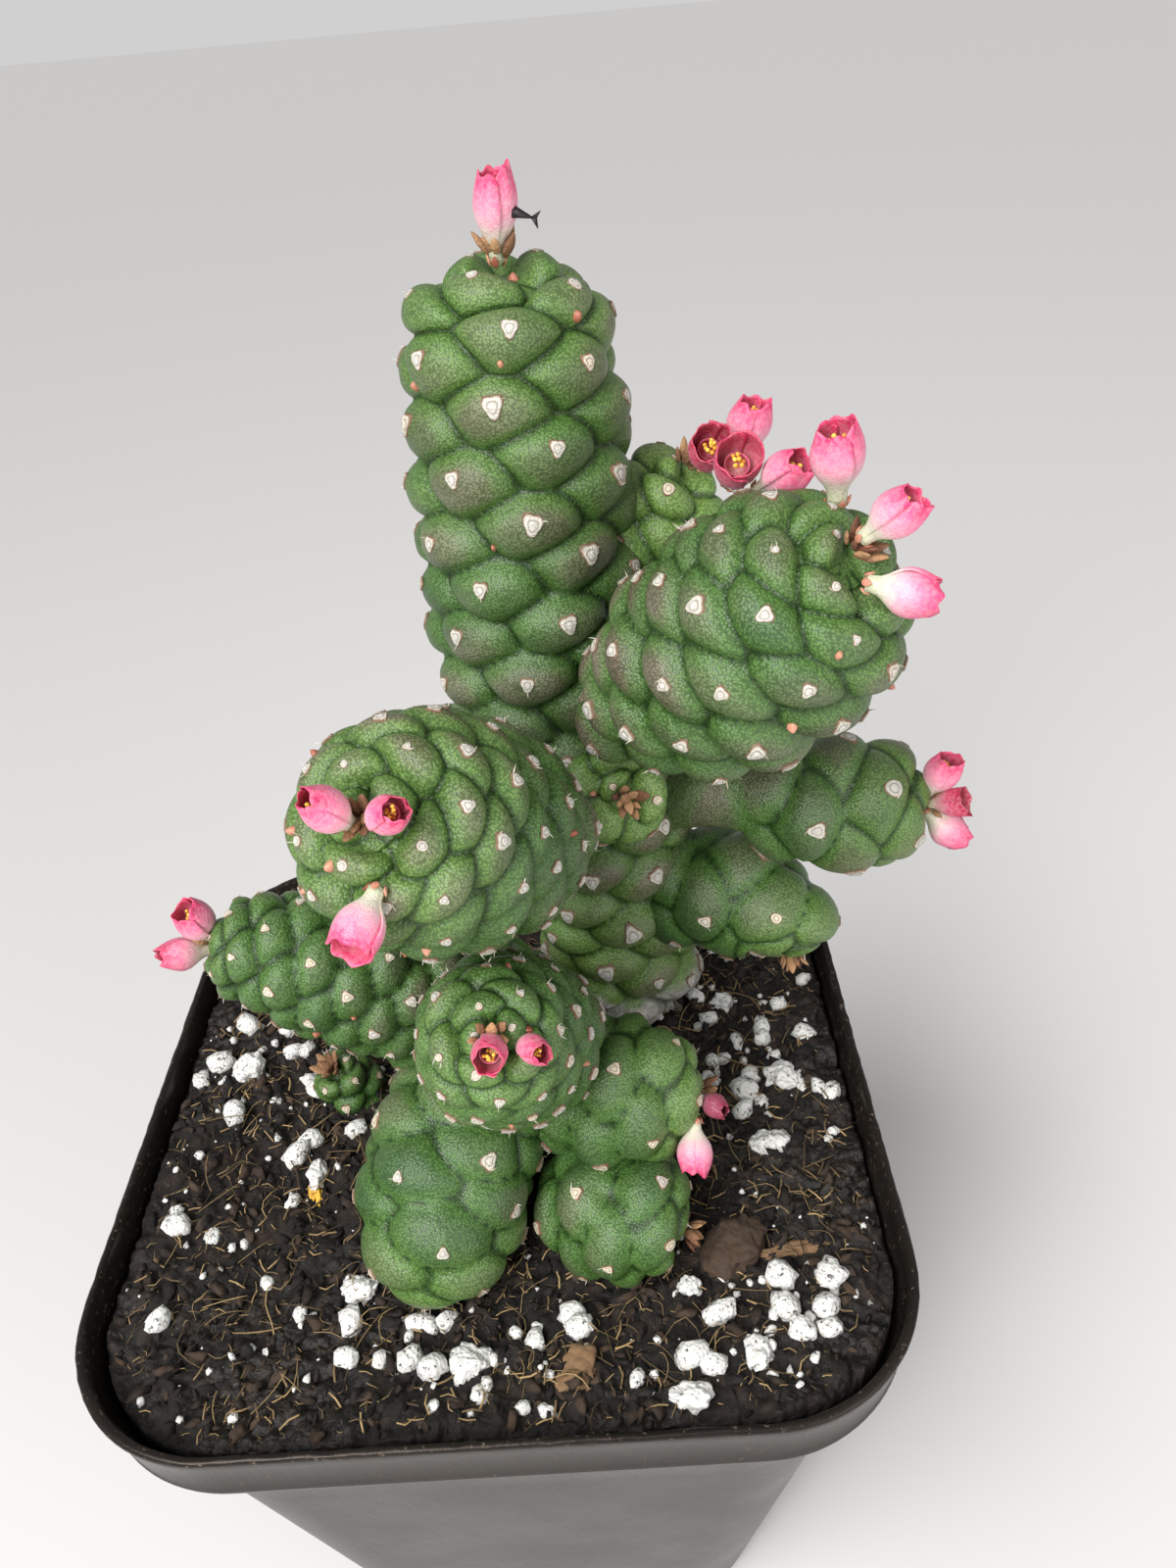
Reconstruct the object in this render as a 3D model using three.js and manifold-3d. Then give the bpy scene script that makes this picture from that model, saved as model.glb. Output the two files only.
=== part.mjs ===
// A potted succulent euphorbia: a square plastic nursery pot, its soil, fourteen knobbly stems and
// the small cupped flowers at the stem tips.
// Millimetres. The origin is the centre of the pot's underside, +Z is up and the front faces -Y.
import * as THREE from 'three';
import { mergeVertices } from 'three/addons/utils/BufferGeometryUtils.js';
import Module from 'manifold-3d';

const wasm = await Module();
wasm.setup();

// ---- driving dimensions ----
const GAP = 0.3;              // clearance kept between neighbouring pieces
const CUT_DETAIL = 0.06;      // slivers smaller than this are cleaned from a cut piece
const ARC_STEPS = 5;          // straight segments in each rounded corner

const POT = {
  height: 120,
  rimHalf: 65,                // half width across the rim's top edge
  bandHeight: 13,             // the stiff collar below the rim
  bandDraft: 1.5,             // how much narrower the collar is at its foot
  ledge: 3.5,                 // step in from the collar to the body
  baseHalf: 42,               // half width of the underside
  cornerShare: 0.385,         // corner radius as a share of the half width
  wall: 1.4,
  drainRadius: 4,
  drainOffset: 24,            // drain holes sit at this distance from both centre lines
};

const SOIL = { top: 112, wave: 1.2, cells: 9 };

const STEM = {
  sides: 12,                  // two per tubercle, so six tubercles go round a stem
  rowPitch: 5,                // height of half a tubercle along the stem
  bump: 1.5,                  // how far a tubercle stands out of the creases round it
  capShare: 0.65,             // length of a rounded end as a share of the radius there
};

const FLOWER = { sides: 8, hood: 1.3 };

// Stems in the order they are fitted: each is cut back from the ones before it.
// axis runs from the attached end to the tip, radii are spread evenly along it.
const STEMS = [
  { name: 'main_stem', axis: [[25, 36, 90], [23, 32, 110], [22, 28, 147], [15, 25, 184], [14, 25, 220], [14, 25, 255]],
    radii: [13, 15, 15.5, 15.5, 16, 16.5, 15.5, 13] },
  { name: 'right_upper_stem', axis: [[24, 14, 188], [35, 2, 200], [46, -8, 213], [55, -16, 227]],
    radii: [7.5, 10.5, 15, 16.5, 15.5, 11] },
  { name: 'left_upper_stem', axis: [[14, 18, 170], [9, -2, 178], [2, -20, 192], [-5, -38, 209]],
    radii: [7, 8.5, 13.5, 15.5, 15, 11] },
  { name: 'back_stem', axis: [[20, 31, 192], [29, 30, 206], [39, 27, 223]], radii: [9, 10, 10, 8] },
  { name: 'right_arm_stem', axis: [[25, 26, 162], [43, 20, 167], [58, 17, 165], [78, 15, 164]],
    radii: [7, 6.5, 7, 11.5, 11.5, 8.5] },
  { name: 'right_low_stem', axis: [[28, 26, 138], [41, 20, 145], [52, 13, 142], [54, 9, 136]],
    radii: [8, 11, 12, 10.5, 8] },
  { name: 'centre_stem', axis: [[19, 18, 172], [25, 6, 178], [26, 1, 180]], radii: [8, 9, 8.5, 7] },
  { name: 'left_back_stem', axis: [[12, 28, 158], [2, 27, 170], [-8, 26, 181]], radii: [8, 9.5, 9, 7] },
  { name: 'front_stem', axis: [[8, 4, 122], [7, -16, 147], [5, -30, 163], [6, -40, 174]],
    radii: [10, 12, 12.5, 12, 8] },
  { name: 'left_low_stem', axis: [[8, 8, 120], [-10, 0, 143], [-27, -5, 157], [-43, -5, 163]],
    radii: [12, 14, 13, 11.5, 6.5] },
  { name: 'right_foot_upper_stem', axis: [[12, -6, 124], [20, -18, 136], [35, -18, 134]],
    radii: [10, 11.5, 11.5, 8] },
  { name: 'front_foot_stem', axis: [[0, -8, 132], [-6, -20, 129], [-9, -30, 122], [-10, -34, 111]],
    radii: [11, 13.5, 14, 13, 10] },
  { name: 'right_foot_lower_stem', axis: [[12, -21, 112], [20, -29, 120], [31, -33, 118]],
    radii: [8, 11, 11, 8] },
  { name: 'offset_stem', axis: [[-26, 8, 100], [-31, 6, 114], [-33, 4, 121]], radii: [5, 6, 6, 4] },
];

// Flowers: the foot of the stalk, the way the cup opens, and a size where 1 is an 11.5 mm flower.
const FLOWERS = [
  { name: 'flower_top', foot: [14, 25, 253], toward: [0.05, -0.1, 1], size: 0.95 },
  { name: 'flower_back_red', foot: [40, 17, 226], toward: [0.1, -0.75, 0.65], size: 0.8 },
  { name: 'flower_back_high', foot: [45, 20, 225], toward: [0.3, -0.15, 0.95], size: 0.9 },
  { name: 'flower_back_mid', foot: [43, 9, 226], toward: [0.05, -0.7, 0.7], size: 0.85 },
  { name: 'flower_back_lean', foot: [46, 5, 226], toward: [0.6, -0.5, 0.6], size: 0.85 },
  { name: 'flower_right_tall', foot: [54, -8, 229], toward: [-0.1, -0.1, 1], size: 0.95 },
  { name: 'flower_right_side', foot: [55, -17, 228], toward: [0.65, -0.3, 0.7], size: 0.8 },
  { name: 'flower_right_low', foot: [55, -20, 224], toward: [0.9, -0.35, -0.15], size: 0.8 },
  { name: 'flower_arm_up', foot: [76.5, 15, 166], toward: [0.4, -0.1, 0.9], size: 0.85 },
  { name: 'flower_arm_mid', foot: [77, 14, 165], toward: [0.85, -0.5, 0.35], size: 0.65 },
  { name: 'flower_arm_down', foot: [76.5, 15, 163], toward: [0.75, -0.3, -0.6], size: 0.85 },
  { name: 'flower_left_pale', foot: [-5, -38, 208], toward: [-0.35, -0.5, 0.8], size: 0.9 },
  { name: 'flower_left_open', foot: [-3, -38, 208], toward: [0.5, -0.6, 0.65], size: 0.85 },
  { name: 'flower_left_bell', foot: [-3, -42, 202], toward: [-0.35, -0.85, -0.35], size: 0.95 },
  { name: 'flower_low_up', foot: [-41, -5, 163], toward: [-0.3, -0.2, 0.95], size: 0.85 },
  { name: 'flower_low_side', foot: [-41.5, -6, 162], toward: [-0.9, -0.4, 0.2], size: 0.8 },
  { name: 'flower_front_left', foot: [6, -38, 171], toward: [0, -0.85, 0.5], size: 0.75 },
  { name: 'flower_front_right', foot: [9, -38, 171], toward: [0.55, -0.7, 0.4], size: 0.7 },
  { name: 'flower_foot_hanging', foot: [33, -25, 136], toward: [-0.1, -0.7, -0.6], size: 0.8 },
  { name: 'flower_foot_dry', foot: [34, -22, 138], toward: [0.6, -0.7, 0.1], size: 0.55 },
];

// Loose lumps on the soil: position, and half sizes along X, Y and Z.
const PERLITE = [
  { at: [42, 21, 113], half: [2.8, 2.3, 2.2] },
  { at: [47, -14, 113.2], half: [3.9, 2.7, 2.5] },
  { at: [51, 0, 113.2], half: [3.6, 3.2, 2.6] },
  { at: [30, -40, 113], half: [2.2, 2, 2] },
  { at: [39, -52, 113], half: [2.6, 3.4, 2.2] },
  { at: [29, -58, 113], half: [3.4, 2.2, 2] },
  { at: [-4, -50, 113], half: [3.4, 2.8, 2.4] },
  { at: [-23, -36, 113], half: [3.2, 2.2, 2] },
  { at: [-51, 10, 113.2], half: [3.2, 3.8, 2.6] },
  { at: [-34, -14, 113], half: [2.1, 3.4, 2] },
];
const BARK = { at: [12, -53, 113.2], half: [3.4, 4.8, 1.4] };

// ---- geometry helpers ----
function toManifold(geometry) {
  const bare = geometry.clone();
  bare.deleteAttribute('normal');
  bare.deleteAttribute('uv');
  const welded = mergeVertices(bare, 1e-4);
  const mesh = new wasm.Mesh({
    numProp: 3,
    vertProperties: new Float32Array(welded.attributes.position.array),
    triVerts: new Uint32Array(welded.index.array),
  });
  return new wasm.Manifold(mesh);
}

function toGeometry(solid) {
  const mesh = solid.getMesh();
  const geometry = new THREE.BufferGeometry();
  geometry.setAttribute('position', new THREE.BufferAttribute(new Float32Array(mesh.vertProperties), 3));
  geometry.setIndex(new THREE.BufferAttribute(new Uint32Array(mesh.triVerts), 1));
  geometry.computeVertexNormals();
  return geometry;
}

// The largest body of a solid that a cut has left in several, with the cut's slivers cleaned away.
function largestBody(solid) {
  const bodies = solid.decompose();
  const largest = bodies.reduce((best, body) => (body.volume() > best.volume() ? body : best));
  return largest.asOriginal().simplify(CUT_DETAIL);
}

function potHalfWidth(z) {
  const bandFoot = POT.height - POT.bandHeight;
  const bandFootHalf = POT.rimHalf - POT.bandDraft;
  const bodyTopHalf = bandFootHalf - POT.ledge;
  if (z > bandFoot) {
    return THREE.MathUtils.mapLinear(z, bandFoot, POT.height, bandFootHalf, POT.rimHalf);
  }
  return THREE.MathUtils.mapLinear(z, 0, bandFoot, POT.baseHalf, bodyTopHalf);
}

// A rounded square block whose half width changes evenly with height.
function taperedSquare(bottom, top, bottomHalf, topHalf) {
  const radius = POT.cornerShare;
  const flat = 1 - radius;
  const outline = new THREE.Shape();
  outline.absarc(flat, flat, radius, 0, Math.PI / 2);
  outline.absarc(-flat, flat, radius, Math.PI / 2, Math.PI);
  outline.absarc(-flat, -flat, radius, Math.PI, Math.PI * 1.5);
  outline.absarc(flat, -flat, radius, Math.PI * 1.5, Math.PI * 2);
  const block = new THREE.ExtrudeGeometry(outline, {
    depth: top - bottom, bevelEnabled: false, curveSegments: ARC_STEPS,
  });
  const position = block.attributes.position;
  for (let i = 0; i < position.count; i += 1) {
    const share = position.getZ(i) / (top - bottom);
    const half = THREE.MathUtils.lerp(bottomHalf, topHalf, share);
    position.setXYZ(i, position.getX(i) * half, position.getY(i) * half, position.getZ(i) + bottom);
  }
  return toManifold(block);
}

// The pot's body and collar drawn in by the given distance: none for the outside, a wall for the hollow.
function potForm(inset, floor, ceiling) {
  const bandFoot = POT.height - POT.bandHeight + inset;
  const body = taperedSquare(floor, bandFoot + 0.5, potHalfWidth(floor) - inset,
    potHalfWidth(POT.height - POT.bandHeight) - inset);
  const band = taperedSquare(bandFoot, ceiling, potHalfWidth(POT.height - POT.bandHeight + 0.01) - inset,
    POT.rimHalf - inset);
  return body.add(band);
}

function stemSolid(stem, grow = 0) {
  const points = stem.axis.map((point) => new THREE.Vector3(...point));
  const curve = new THREE.CatmullRomCurve3(points, false, 'centripetal');
  const length = curve.getLength();
  const rings = Math.max(8, Math.round(length / STEM.rowPitch));
  const frames = curve.computeFrenetFrames(rings);
  const radii = new THREE.SplineCurve(stem.radii.map((radius, i) => new THREE.Vector2(i, radius)));
  const geometry = new THREE.SphereGeometry(1, STEM.sides, rings);
  const position = geometry.attributes.position;
  for (let i = 0; i < position.count; i += 1) {
    const ring = Math.floor(i / (STEM.sides + 1));
    const side = i % (STEM.sides + 1);
    const along = ring / rings;
    const angle = (side / STEM.sides) * Math.PI * 2;
    const nearestEnd = Math.min(along, 1 - along) * length;
    const capLength = radii.getPoint(along).y * STEM.capShare;
    const shoulder = Math.max(0, 1 - nearestEnd / capLength);
    const cap = Math.sqrt(Math.max(0, 1 - shoulder * shoulder));
    const tubercle = (ring + side) % 2 === 0 ? STEM.bump : -STEM.bump;
    const radius = cap * (radii.getPoint(along).y + tubercle + grow);
    const point = curve.getPointAt(along);
    point.addScaledVector(frames.normals[ring], -Math.cos(angle) * radius);
    point.addScaledVector(frames.binormals[ring], Math.sin(angle) * radius);
    if (nearestEnd < 1e-6) {
      point.addScaledVector(frames.tangents[ring], along < 0.5 ? -grow : grow);
    }
    position.setXYZ(i, point.x, point.y, point.z);
  }
  return toManifold(geometry);
}

// A stalked cup with one side drawn up into a hood, opening along its own axis.
function flowerSolid(flower, grow = 0) {
  const profile = [
    [0, 0], [0.9, 0], [0.8, 2.2], [2.5, 4.2], [3.1, 7.5], [2.8, 11.5],
    [2.2, 11.3], [2.4, 7.5], [1.8, 5.1], [0, 4.5],
  ];
  const outerCount = 6;
  const points = profile.map(([radius, height], i) => {
    const swell = i === 0 || i === profile.length - 1 ? 0 : grow;
    return new THREE.Vector2(radius * flower.size + (i < outerCount ? swell : -swell * 0.5), height * flower.size);
  });
  const geometry = new THREE.LatheGeometry(points, FLOWER.sides);
  const position = geometry.attributes.position;
  const rise = FLOWER.hood * flower.size;
  for (let i = 0; i < position.count; i += 1) {
    const share = Math.max(0, position.getY(i) / flower.size - 6) / 5.5;
    position.setY(i, position.getY(i) + (share * rise * position.getX(i)) / 3);
  }
  const turn = new THREE.Quaternion().setFromUnitVectors(
    new THREE.Vector3(0, 1, 0), new THREE.Vector3(...flower.toward).normalize());
  geometry.applyQuaternion(turn);
  geometry.translate(...flower.foot);
  return toManifold(geometry);
}

function lumpSolid(lump, seed, grow = 0) {
  const geometry = new THREE.IcosahedronGeometry(1, 1);
  const position = geometry.attributes.position;
  for (let i = 0; i < position.count; i += 1) {
    const [x, y, z] = [position.getX(i), position.getY(i), position.getZ(i)];
    const uneven = 1 + 0.14 * Math.sin(5 * x + seed) * Math.cos(4 * y - 2 * seed) + 0.08 * Math.sin(6 * z + seed);
    position.setXYZ(i, x * uneven * (lump.half[0] + grow), y * uneven * (lump.half[1] + grow),
      z * uneven * (lump.half[2] + grow));
  }
  geometry.translate(...lump.at);
  return toManifold(geometry);
}

// ---- the pieces ----
const part = new THREE.Group();
part.name = 'potted_euphorbia';

function addPiece(name, solid, color) {
  const material = new THREE.MeshStandardMaterial({ color });
  const mesh = new THREE.Mesh(toGeometry(solid), material);
  mesh.name = name;
  part.add(mesh);
}

function makePot() {
  const outside = potForm(0, 0, POT.height);
  const hollow = potForm(POT.wall, POT.wall, POT.height + 1);
  let pot = outside.subtract(hollow);
  const drill = new THREE.CylinderGeometry(POT.drainRadius, POT.drainRadius, POT.wall * 4, 16);
  drill.rotateX(Math.PI / 2);
  for (const x of [-POT.drainOffset, POT.drainOffset]) {
    for (const y of [-POT.drainOffset, POT.drainOffset]) {
      pot = pot.subtract(toManifold(drill.clone().translate(x, y, 0)));
    }
  }
  return pot;
}

function soilSurface(x, y) {
  return SOIL.wave * (Math.sin(x * 0.09 + 1) * Math.cos(y * 0.11) + 0.5 * Math.sin(x * 0.21 - y * 0.17));
}

function makeSoil(taken) {
  const width = POT.rimHalf * 2 + 4;
  const block = new THREE.BoxGeometry(width, width, SOIL.top, SOIL.cells, SOIL.cells, 1);
  block.translate(0, 0, SOIL.top / 2);
  const position = block.attributes.position;
  for (let i = 0; i < position.count; i += 1) {
    if (position.getZ(i) > SOIL.top - 1) {
      position.setZ(i, SOIL.top + soilSurface(position.getX(i), position.getY(i)));
    }
  }
  const inside = potForm(POT.wall + GAP, POT.wall + GAP, POT.height);
  return largestBody(toManifold(block).intersect(inside).subtract(taken));
}

addPiece('pot', makePot(), 0x17171a);

// Every solid fitted so far, grown by the gap, so the next piece can be cut back from all of them.
let taken = null;

function fit(name, make, color) {
  const whole = make(0);
  const solid = taken ? largestBody(whole.subtract(taken)) : whole;
  addPiece(name, solid, color);
  const grown = make(GAP);
  taken = taken ? taken.add(grown) : grown;
}

for (const stem of STEMS) {
  fit(stem.name, (grow) => stemSolid(stem, grow), 0x4f7f45);
}
for (const flower of FLOWERS) {
  fit(flower.name, (grow) => flowerSolid(flower, grow), 0xe2698f);
}
PERLITE.forEach((lump, i) => {
  fit(`perlite_${i + 1}`, (grow) => lumpSolid(lump, i + 1, grow), 0xe6e6e2);
});
fit('bark_chip', (grow) => lumpSolid(BARK, 5, grow), 0x7a4a28);

addPiece('soil', makeSoil(taken), 0x2a211b);

export default part;
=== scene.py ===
# %% [markdown]
# # A potted succulent euphorbia
# The object is a square black nursery pot full of a peat and perlite mix, with a branching succulent
# growing in it. Its stems are covered in spiral rows of swollen tubercles, each with a leaf scar, and
# small pink cupped flowers stand at the stem tips. The solid model gives every size and place. Here
# each plain solid is given the surface that the real thing has.

# %% Load the solid model
import math
import bmesh
import bpy
import numpy as np
from mathutils import Matrix, Vector, noise


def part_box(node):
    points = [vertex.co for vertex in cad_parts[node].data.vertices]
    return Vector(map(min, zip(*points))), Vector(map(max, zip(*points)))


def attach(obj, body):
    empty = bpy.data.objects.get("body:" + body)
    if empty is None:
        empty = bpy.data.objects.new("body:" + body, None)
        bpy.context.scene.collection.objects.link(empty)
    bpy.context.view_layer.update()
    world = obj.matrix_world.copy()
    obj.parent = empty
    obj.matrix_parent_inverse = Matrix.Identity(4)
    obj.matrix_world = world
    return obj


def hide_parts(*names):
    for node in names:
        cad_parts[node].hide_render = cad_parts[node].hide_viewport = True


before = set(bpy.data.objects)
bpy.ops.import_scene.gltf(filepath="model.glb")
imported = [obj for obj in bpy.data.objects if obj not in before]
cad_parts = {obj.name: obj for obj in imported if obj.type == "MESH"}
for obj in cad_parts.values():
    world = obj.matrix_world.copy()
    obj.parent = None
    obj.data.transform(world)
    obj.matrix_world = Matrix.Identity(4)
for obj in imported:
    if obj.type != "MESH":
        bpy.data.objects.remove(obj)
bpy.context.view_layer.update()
MM = 0.001
chance = np.random.default_rng(41)

# %% [markdown]
# ## Camera, light and floor
# A phone held above the pot sees it from the front and well above, tilted a little. The lens is
# wide, so the top of the plant looks large and the pot narrows quickly. A broad light comes from above
# and the left, with a smaller window light in front of it and a weaker light to the right, so that the
# creases stay readable.

# %% Camera
RIM_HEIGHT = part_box("pot")[1].z
HEADING = math.radians(-1.8)
PITCH = math.radians(35.4)
ROLL = math.radians(5.3)
LENS = 26.1                   # on a sensor 36 mm wide
CAMERA_PLACE = Vector((24.6 * MM, -139.7 * MM, RIM_HEIGHT + 163.6 * MM))


def place_camera():
    ahead = Vector((math.sin(HEADING), math.cos(HEADING), 0))
    look = ahead * math.cos(PITCH) - Vector((0, 0, math.sin(PITCH)))
    level = Vector((math.cos(HEADING), -math.sin(HEADING), 0))
    right = level * math.cos(ROLL) + look.cross(level) * math.sin(ROLL)
    up = right.cross(look)
    data = bpy.data.cameras.new("camera")
    data.sensor_width = 36
    data.lens = LENS
    data.clip_start = 0.01
    camera = bpy.data.objects.new("camera", data)
    camera.matrix_world = Matrix((
        (right.x, up.x, -look.x, CAMERA_PLACE.x),
        (right.y, up.y, -look.y, CAMERA_PLACE.y),
        (right.z, up.z, -look.z, CAMERA_PLACE.z),
        (0, 0, 0, 1),
    ))
    bpy.context.collection.objects.link(camera)
    bpy.context.scene.camera = camera
    return camera


camera = place_camera()
print("camera at", tuple(round(v, 3) for v in camera.location))


# %% Lights and world
def aimed(name, data, place, target):
    lamp = bpy.data.objects.new(name, data)
    lamp.location = place
    lamp.rotation_euler = (Vector(target) - Vector(place)).to_track_quat("-Z", "Y").to_euler()
    bpy.context.collection.objects.link(lamp)
    return lamp


def area_light(name, place, target, size, power, tint=(1, 1, 1)):
    data = bpy.data.lights.new(name, "AREA")
    data.shape = "SQUARE"
    data.size = size
    data.energy = power
    data.color = tint
    return aimed(name, data, place, target)


middle = Vector((0, 0, 0.16))
sky = bpy.data.lights.new("overhead_light", "SUN")
sky.energy = 2.25
sky.angle = math.radians(34)
aimed("overhead_light", sky, (-0.38, -0.36, 0.9), middle)
area_light("window_light", (-0.22, -0.50, 0.50), middle, 0.25, 3.2, (1.0, 0.99, 0.97))
area_light("room_light", (0.60, -0.60, 0.40), middle, 0.6, 3.0, (0.97, 0.98, 1.0))

world = bpy.data.worlds.new("room")
world.use_nodes = True
room = world.node_tree.nodes["Background"]
room.inputs["Color"].default_value = (0.90, 0.90, 0.91, 1)
seen = world.node_tree.nodes.new("ShaderNodeLightPath").outputs["Is Camera Ray"]
level = world.node_tree.nodes.new("ShaderNodeMapRange")
level.inputs["To Min"].default_value = 0.38
level.inputs["To Max"].default_value = 0.70
world.node_tree.links.new(seen, level.inputs["Value"])
world.node_tree.links.new(level.outputs["Result"], room.inputs["Strength"])
bpy.context.scene.world = world
bpy.context.scene.view_settings.view_transform = "Standard"
print("lights:", [item.name for item in bpy.data.lights], "and a pale room")

# %% [markdown]
# ## Node helpers
# Materials here are small networks of nodes. These helpers add a node, join sockets and make a colour
# ramp, so that each material below reads as a short recipe.


# %% Node helpers
def new_material(name, roughness, base=(0.5, 0.5, 0.5, 1)):
    material = bpy.data.materials.new(name)
    material.use_nodes = True
    shader = material.node_tree.nodes["Principled BSDF"]
    shader.inputs["Roughness"].default_value = roughness
    shader.inputs["Base Color"].default_value = base
    return material, material.node_tree, shader


def add_node(tree, kind, **settings):
    node = tree.nodes.new(kind)
    for key, value in settings.items():
        setattr(node, key, value)
    return node


def feed(tree, value, socket):
    """Joins an output to a socket, or sets the socket to a plain value."""
    if isinstance(value, bpy.types.NodeSocket):
        tree.links.new(value, socket)
    else:
        socket.default_value = value


def mix_colour(tree, factor, first, second, blend="MIX"):
    node = add_node(tree, "ShaderNodeMix", data_type="RGBA", blend_type=blend)
    feed(tree, factor, node.inputs["Factor"])
    feed(tree, first, node.inputs[6])
    feed(tree, second, node.inputs[7])
    return node.outputs[2]


def math_node(tree, operation, first, second=0.0, clamp=False):
    node = add_node(tree, "ShaderNodeMath", operation=operation, use_clamp=clamp)
    feed(tree, first, node.inputs[0])
    feed(tree, second, node.inputs[1])
    return node.outputs[0]


def times(tree, first, second):
    return math_node(tree, "MULTIPLY", first, second)


def dyed(tree, colour, strength):
    """A colour multiplied by another, brighter or darker than white."""
    return mix_colour(tree, 1.0, colour, (*strength, 1), "MULTIPLY")


def spread(tree, value, low, high, to_low=0.0, to_high=1.0):
    """Maps the range low to high onto another, smoothly and held at its ends."""
    node = add_node(tree, "ShaderNodeMapRange", interpolation_type="SMOOTHSTEP")
    feed(tree, value, node.inputs["Value"])
    node.inputs["From Min"].default_value = low
    node.inputs["From Max"].default_value = high
    node.inputs["To Min"].default_value = to_low
    node.inputs["To Max"].default_value = to_high
    return node.outputs["Result"]


def ramp(tree, value, stops):
    node = add_node(tree, "ShaderNodeValToRGB")
    elements = node.color_ramp.elements
    while len(elements) < len(stops):
        elements.new(0.5)
    for element, (place, colour) in zip(elements, stops):
        element.position = place
        element.color = (*colour, 1)
    feed(tree, value, node.inputs["Fac"])
    return node.outputs["Color"]


def noise_node(tree, vector, scale, detail=3.0, roughness=0.55):
    node = add_node(tree, "ShaderNodeTexNoise")
    feed(tree, vector, node.inputs["Vector"])
    node.inputs["Scale"].default_value = scale
    node.inputs["Detail"].default_value = detail
    node.inputs["Roughness"].default_value = roughness
    return node.outputs["Fac"]


def attribute(tree, name):
    return add_node(tree, "ShaderNodeAttribute", attribute_name=name).outputs["Fac"]


def bump(tree, shader, height, strength, distance):
    node = add_node(tree, "ShaderNodeBump")
    feed(tree, height, node.inputs["Height"])
    node.inputs["Strength"].default_value = strength
    node.inputs["Distance"].default_value = distance
    tree.links.new(node.outputs["Normal"], shader.inputs["Normal"])


def object_place(tree):
    return add_node(tree, "ShaderNodeTexCoord").outputs["Object"]


# %% [markdown]
# ## Two shared effects
# The stems, scars, petals and small dry pieces all have a fine cellular grain, and the soil, perlite and
# pot all carry flecks of one another. Each effect is one node group with its own inputs, built once and
# placed in every material that needs it.


# %% Shared node groups
def new_group(name, inputs, outputs):
    group = bpy.data.node_groups.new(name, "ShaderNodeTree")
    for label, kind, value in inputs:
        socket = group.interface.new_socket(label, in_out="INPUT", socket_type=kind)
        if value is not None:
            socket.default_value = value
    for label, kind in outputs:
        group.interface.new_socket(label, in_out="OUTPUT", socket_type=kind)
    return group, group.nodes.new("NodeGroupInput"), group.nodes.new("NodeGroupOutput")


def build_cell_grain():
    """Tiny raised cells: Cells is their height, Speckle a soft light and dark fleck between them."""
    group, inside, out = new_group(
        "cell_grain",
        [("Vector", "NodeSocketVector", None), ("Scale", "NodeSocketFloat", 2400.0)],
        [("Cells", "NodeSocketFloat"), ("Speckle", "NodeSocketFloat")],
    )
    cells = add_node(group, "ShaderNodeTexVoronoi", feature="F1")
    group.links.new(inside.outputs["Vector"], cells.inputs["Vector"])
    group.links.new(inside.outputs["Scale"], cells.inputs["Scale"])
    dome = math_node(group, "SUBTRACT", 1.0, cells.outputs["Distance"], clamp=True)
    group.links.new(dome, out.inputs["Cells"])
    fleck = add_node(group, "ShaderNodeTexNoise")
    group.links.new(inside.outputs["Vector"], fleck.inputs["Vector"])
    group.links.new(math_node(group, "MULTIPLY", inside.outputs["Scale"], 0.55), fleck.inputs["Scale"])
    fleck.inputs["Detail"].default_value = 2.0
    group.links.new(spread(group, fleck.outputs["Fac"], 0.35, 0.65), out.inputs["Speckle"])
    return group


def build_flecks():
    """Scattered small patches: Mask is 1 inside a fleck. Amount 0 to 1 sets how much they cover."""
    group, inside, out = new_group(
        "flecks",
        [("Vector", "NodeSocketVector", None), ("Scale", "NodeSocketFloat", 900.0),
         ("Amount", "NodeSocketFloat", 0.3)],
        [("Mask", "NodeSocketFloat")],
    )
    grain = add_node(group, "ShaderNodeTexNoise")
    group.links.new(inside.outputs["Vector"], grain.inputs["Vector"])
    group.links.new(inside.outputs["Scale"], grain.inputs["Scale"])
    grain.inputs["Detail"].default_value = 4.0
    grain.inputs["Roughness"].default_value = 0.65
    limit = math_node(group, "SUBTRACT", 0.8, math_node(group, "MULTIPLY", inside.outputs["Amount"], 0.45))
    above = math_node(group, "SUBTRACT", grain.outputs["Fac"], limit)
    group.links.new(math_node(group, "MULTIPLY", above, 14.0, clamp=True), out.inputs["Mask"])
    return group


CELL_GRAIN = build_cell_grain()
FLECKS = build_flecks()


def cell_grain(tree, vector, scale):
    node = add_node(tree, "ShaderNodeGroup", node_tree=CELL_GRAIN)
    feed(tree, vector, node.inputs["Vector"])
    node.inputs["Scale"].default_value = scale
    return node.outputs["Cells"], node.outputs["Speckle"]


def flecks(tree, vector, scale, amount):
    node = add_node(tree, "ShaderNodeGroup", node_tree=FLECKS)
    feed(tree, vector, node.inputs["Vector"])
    node.inputs["Scale"].default_value = scale
    node.inputs["Amount"].default_value = amount
    return node.outputs["Mask"]


print("node groups:", CELL_GRAIN.name, FLECKS.name)
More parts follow.
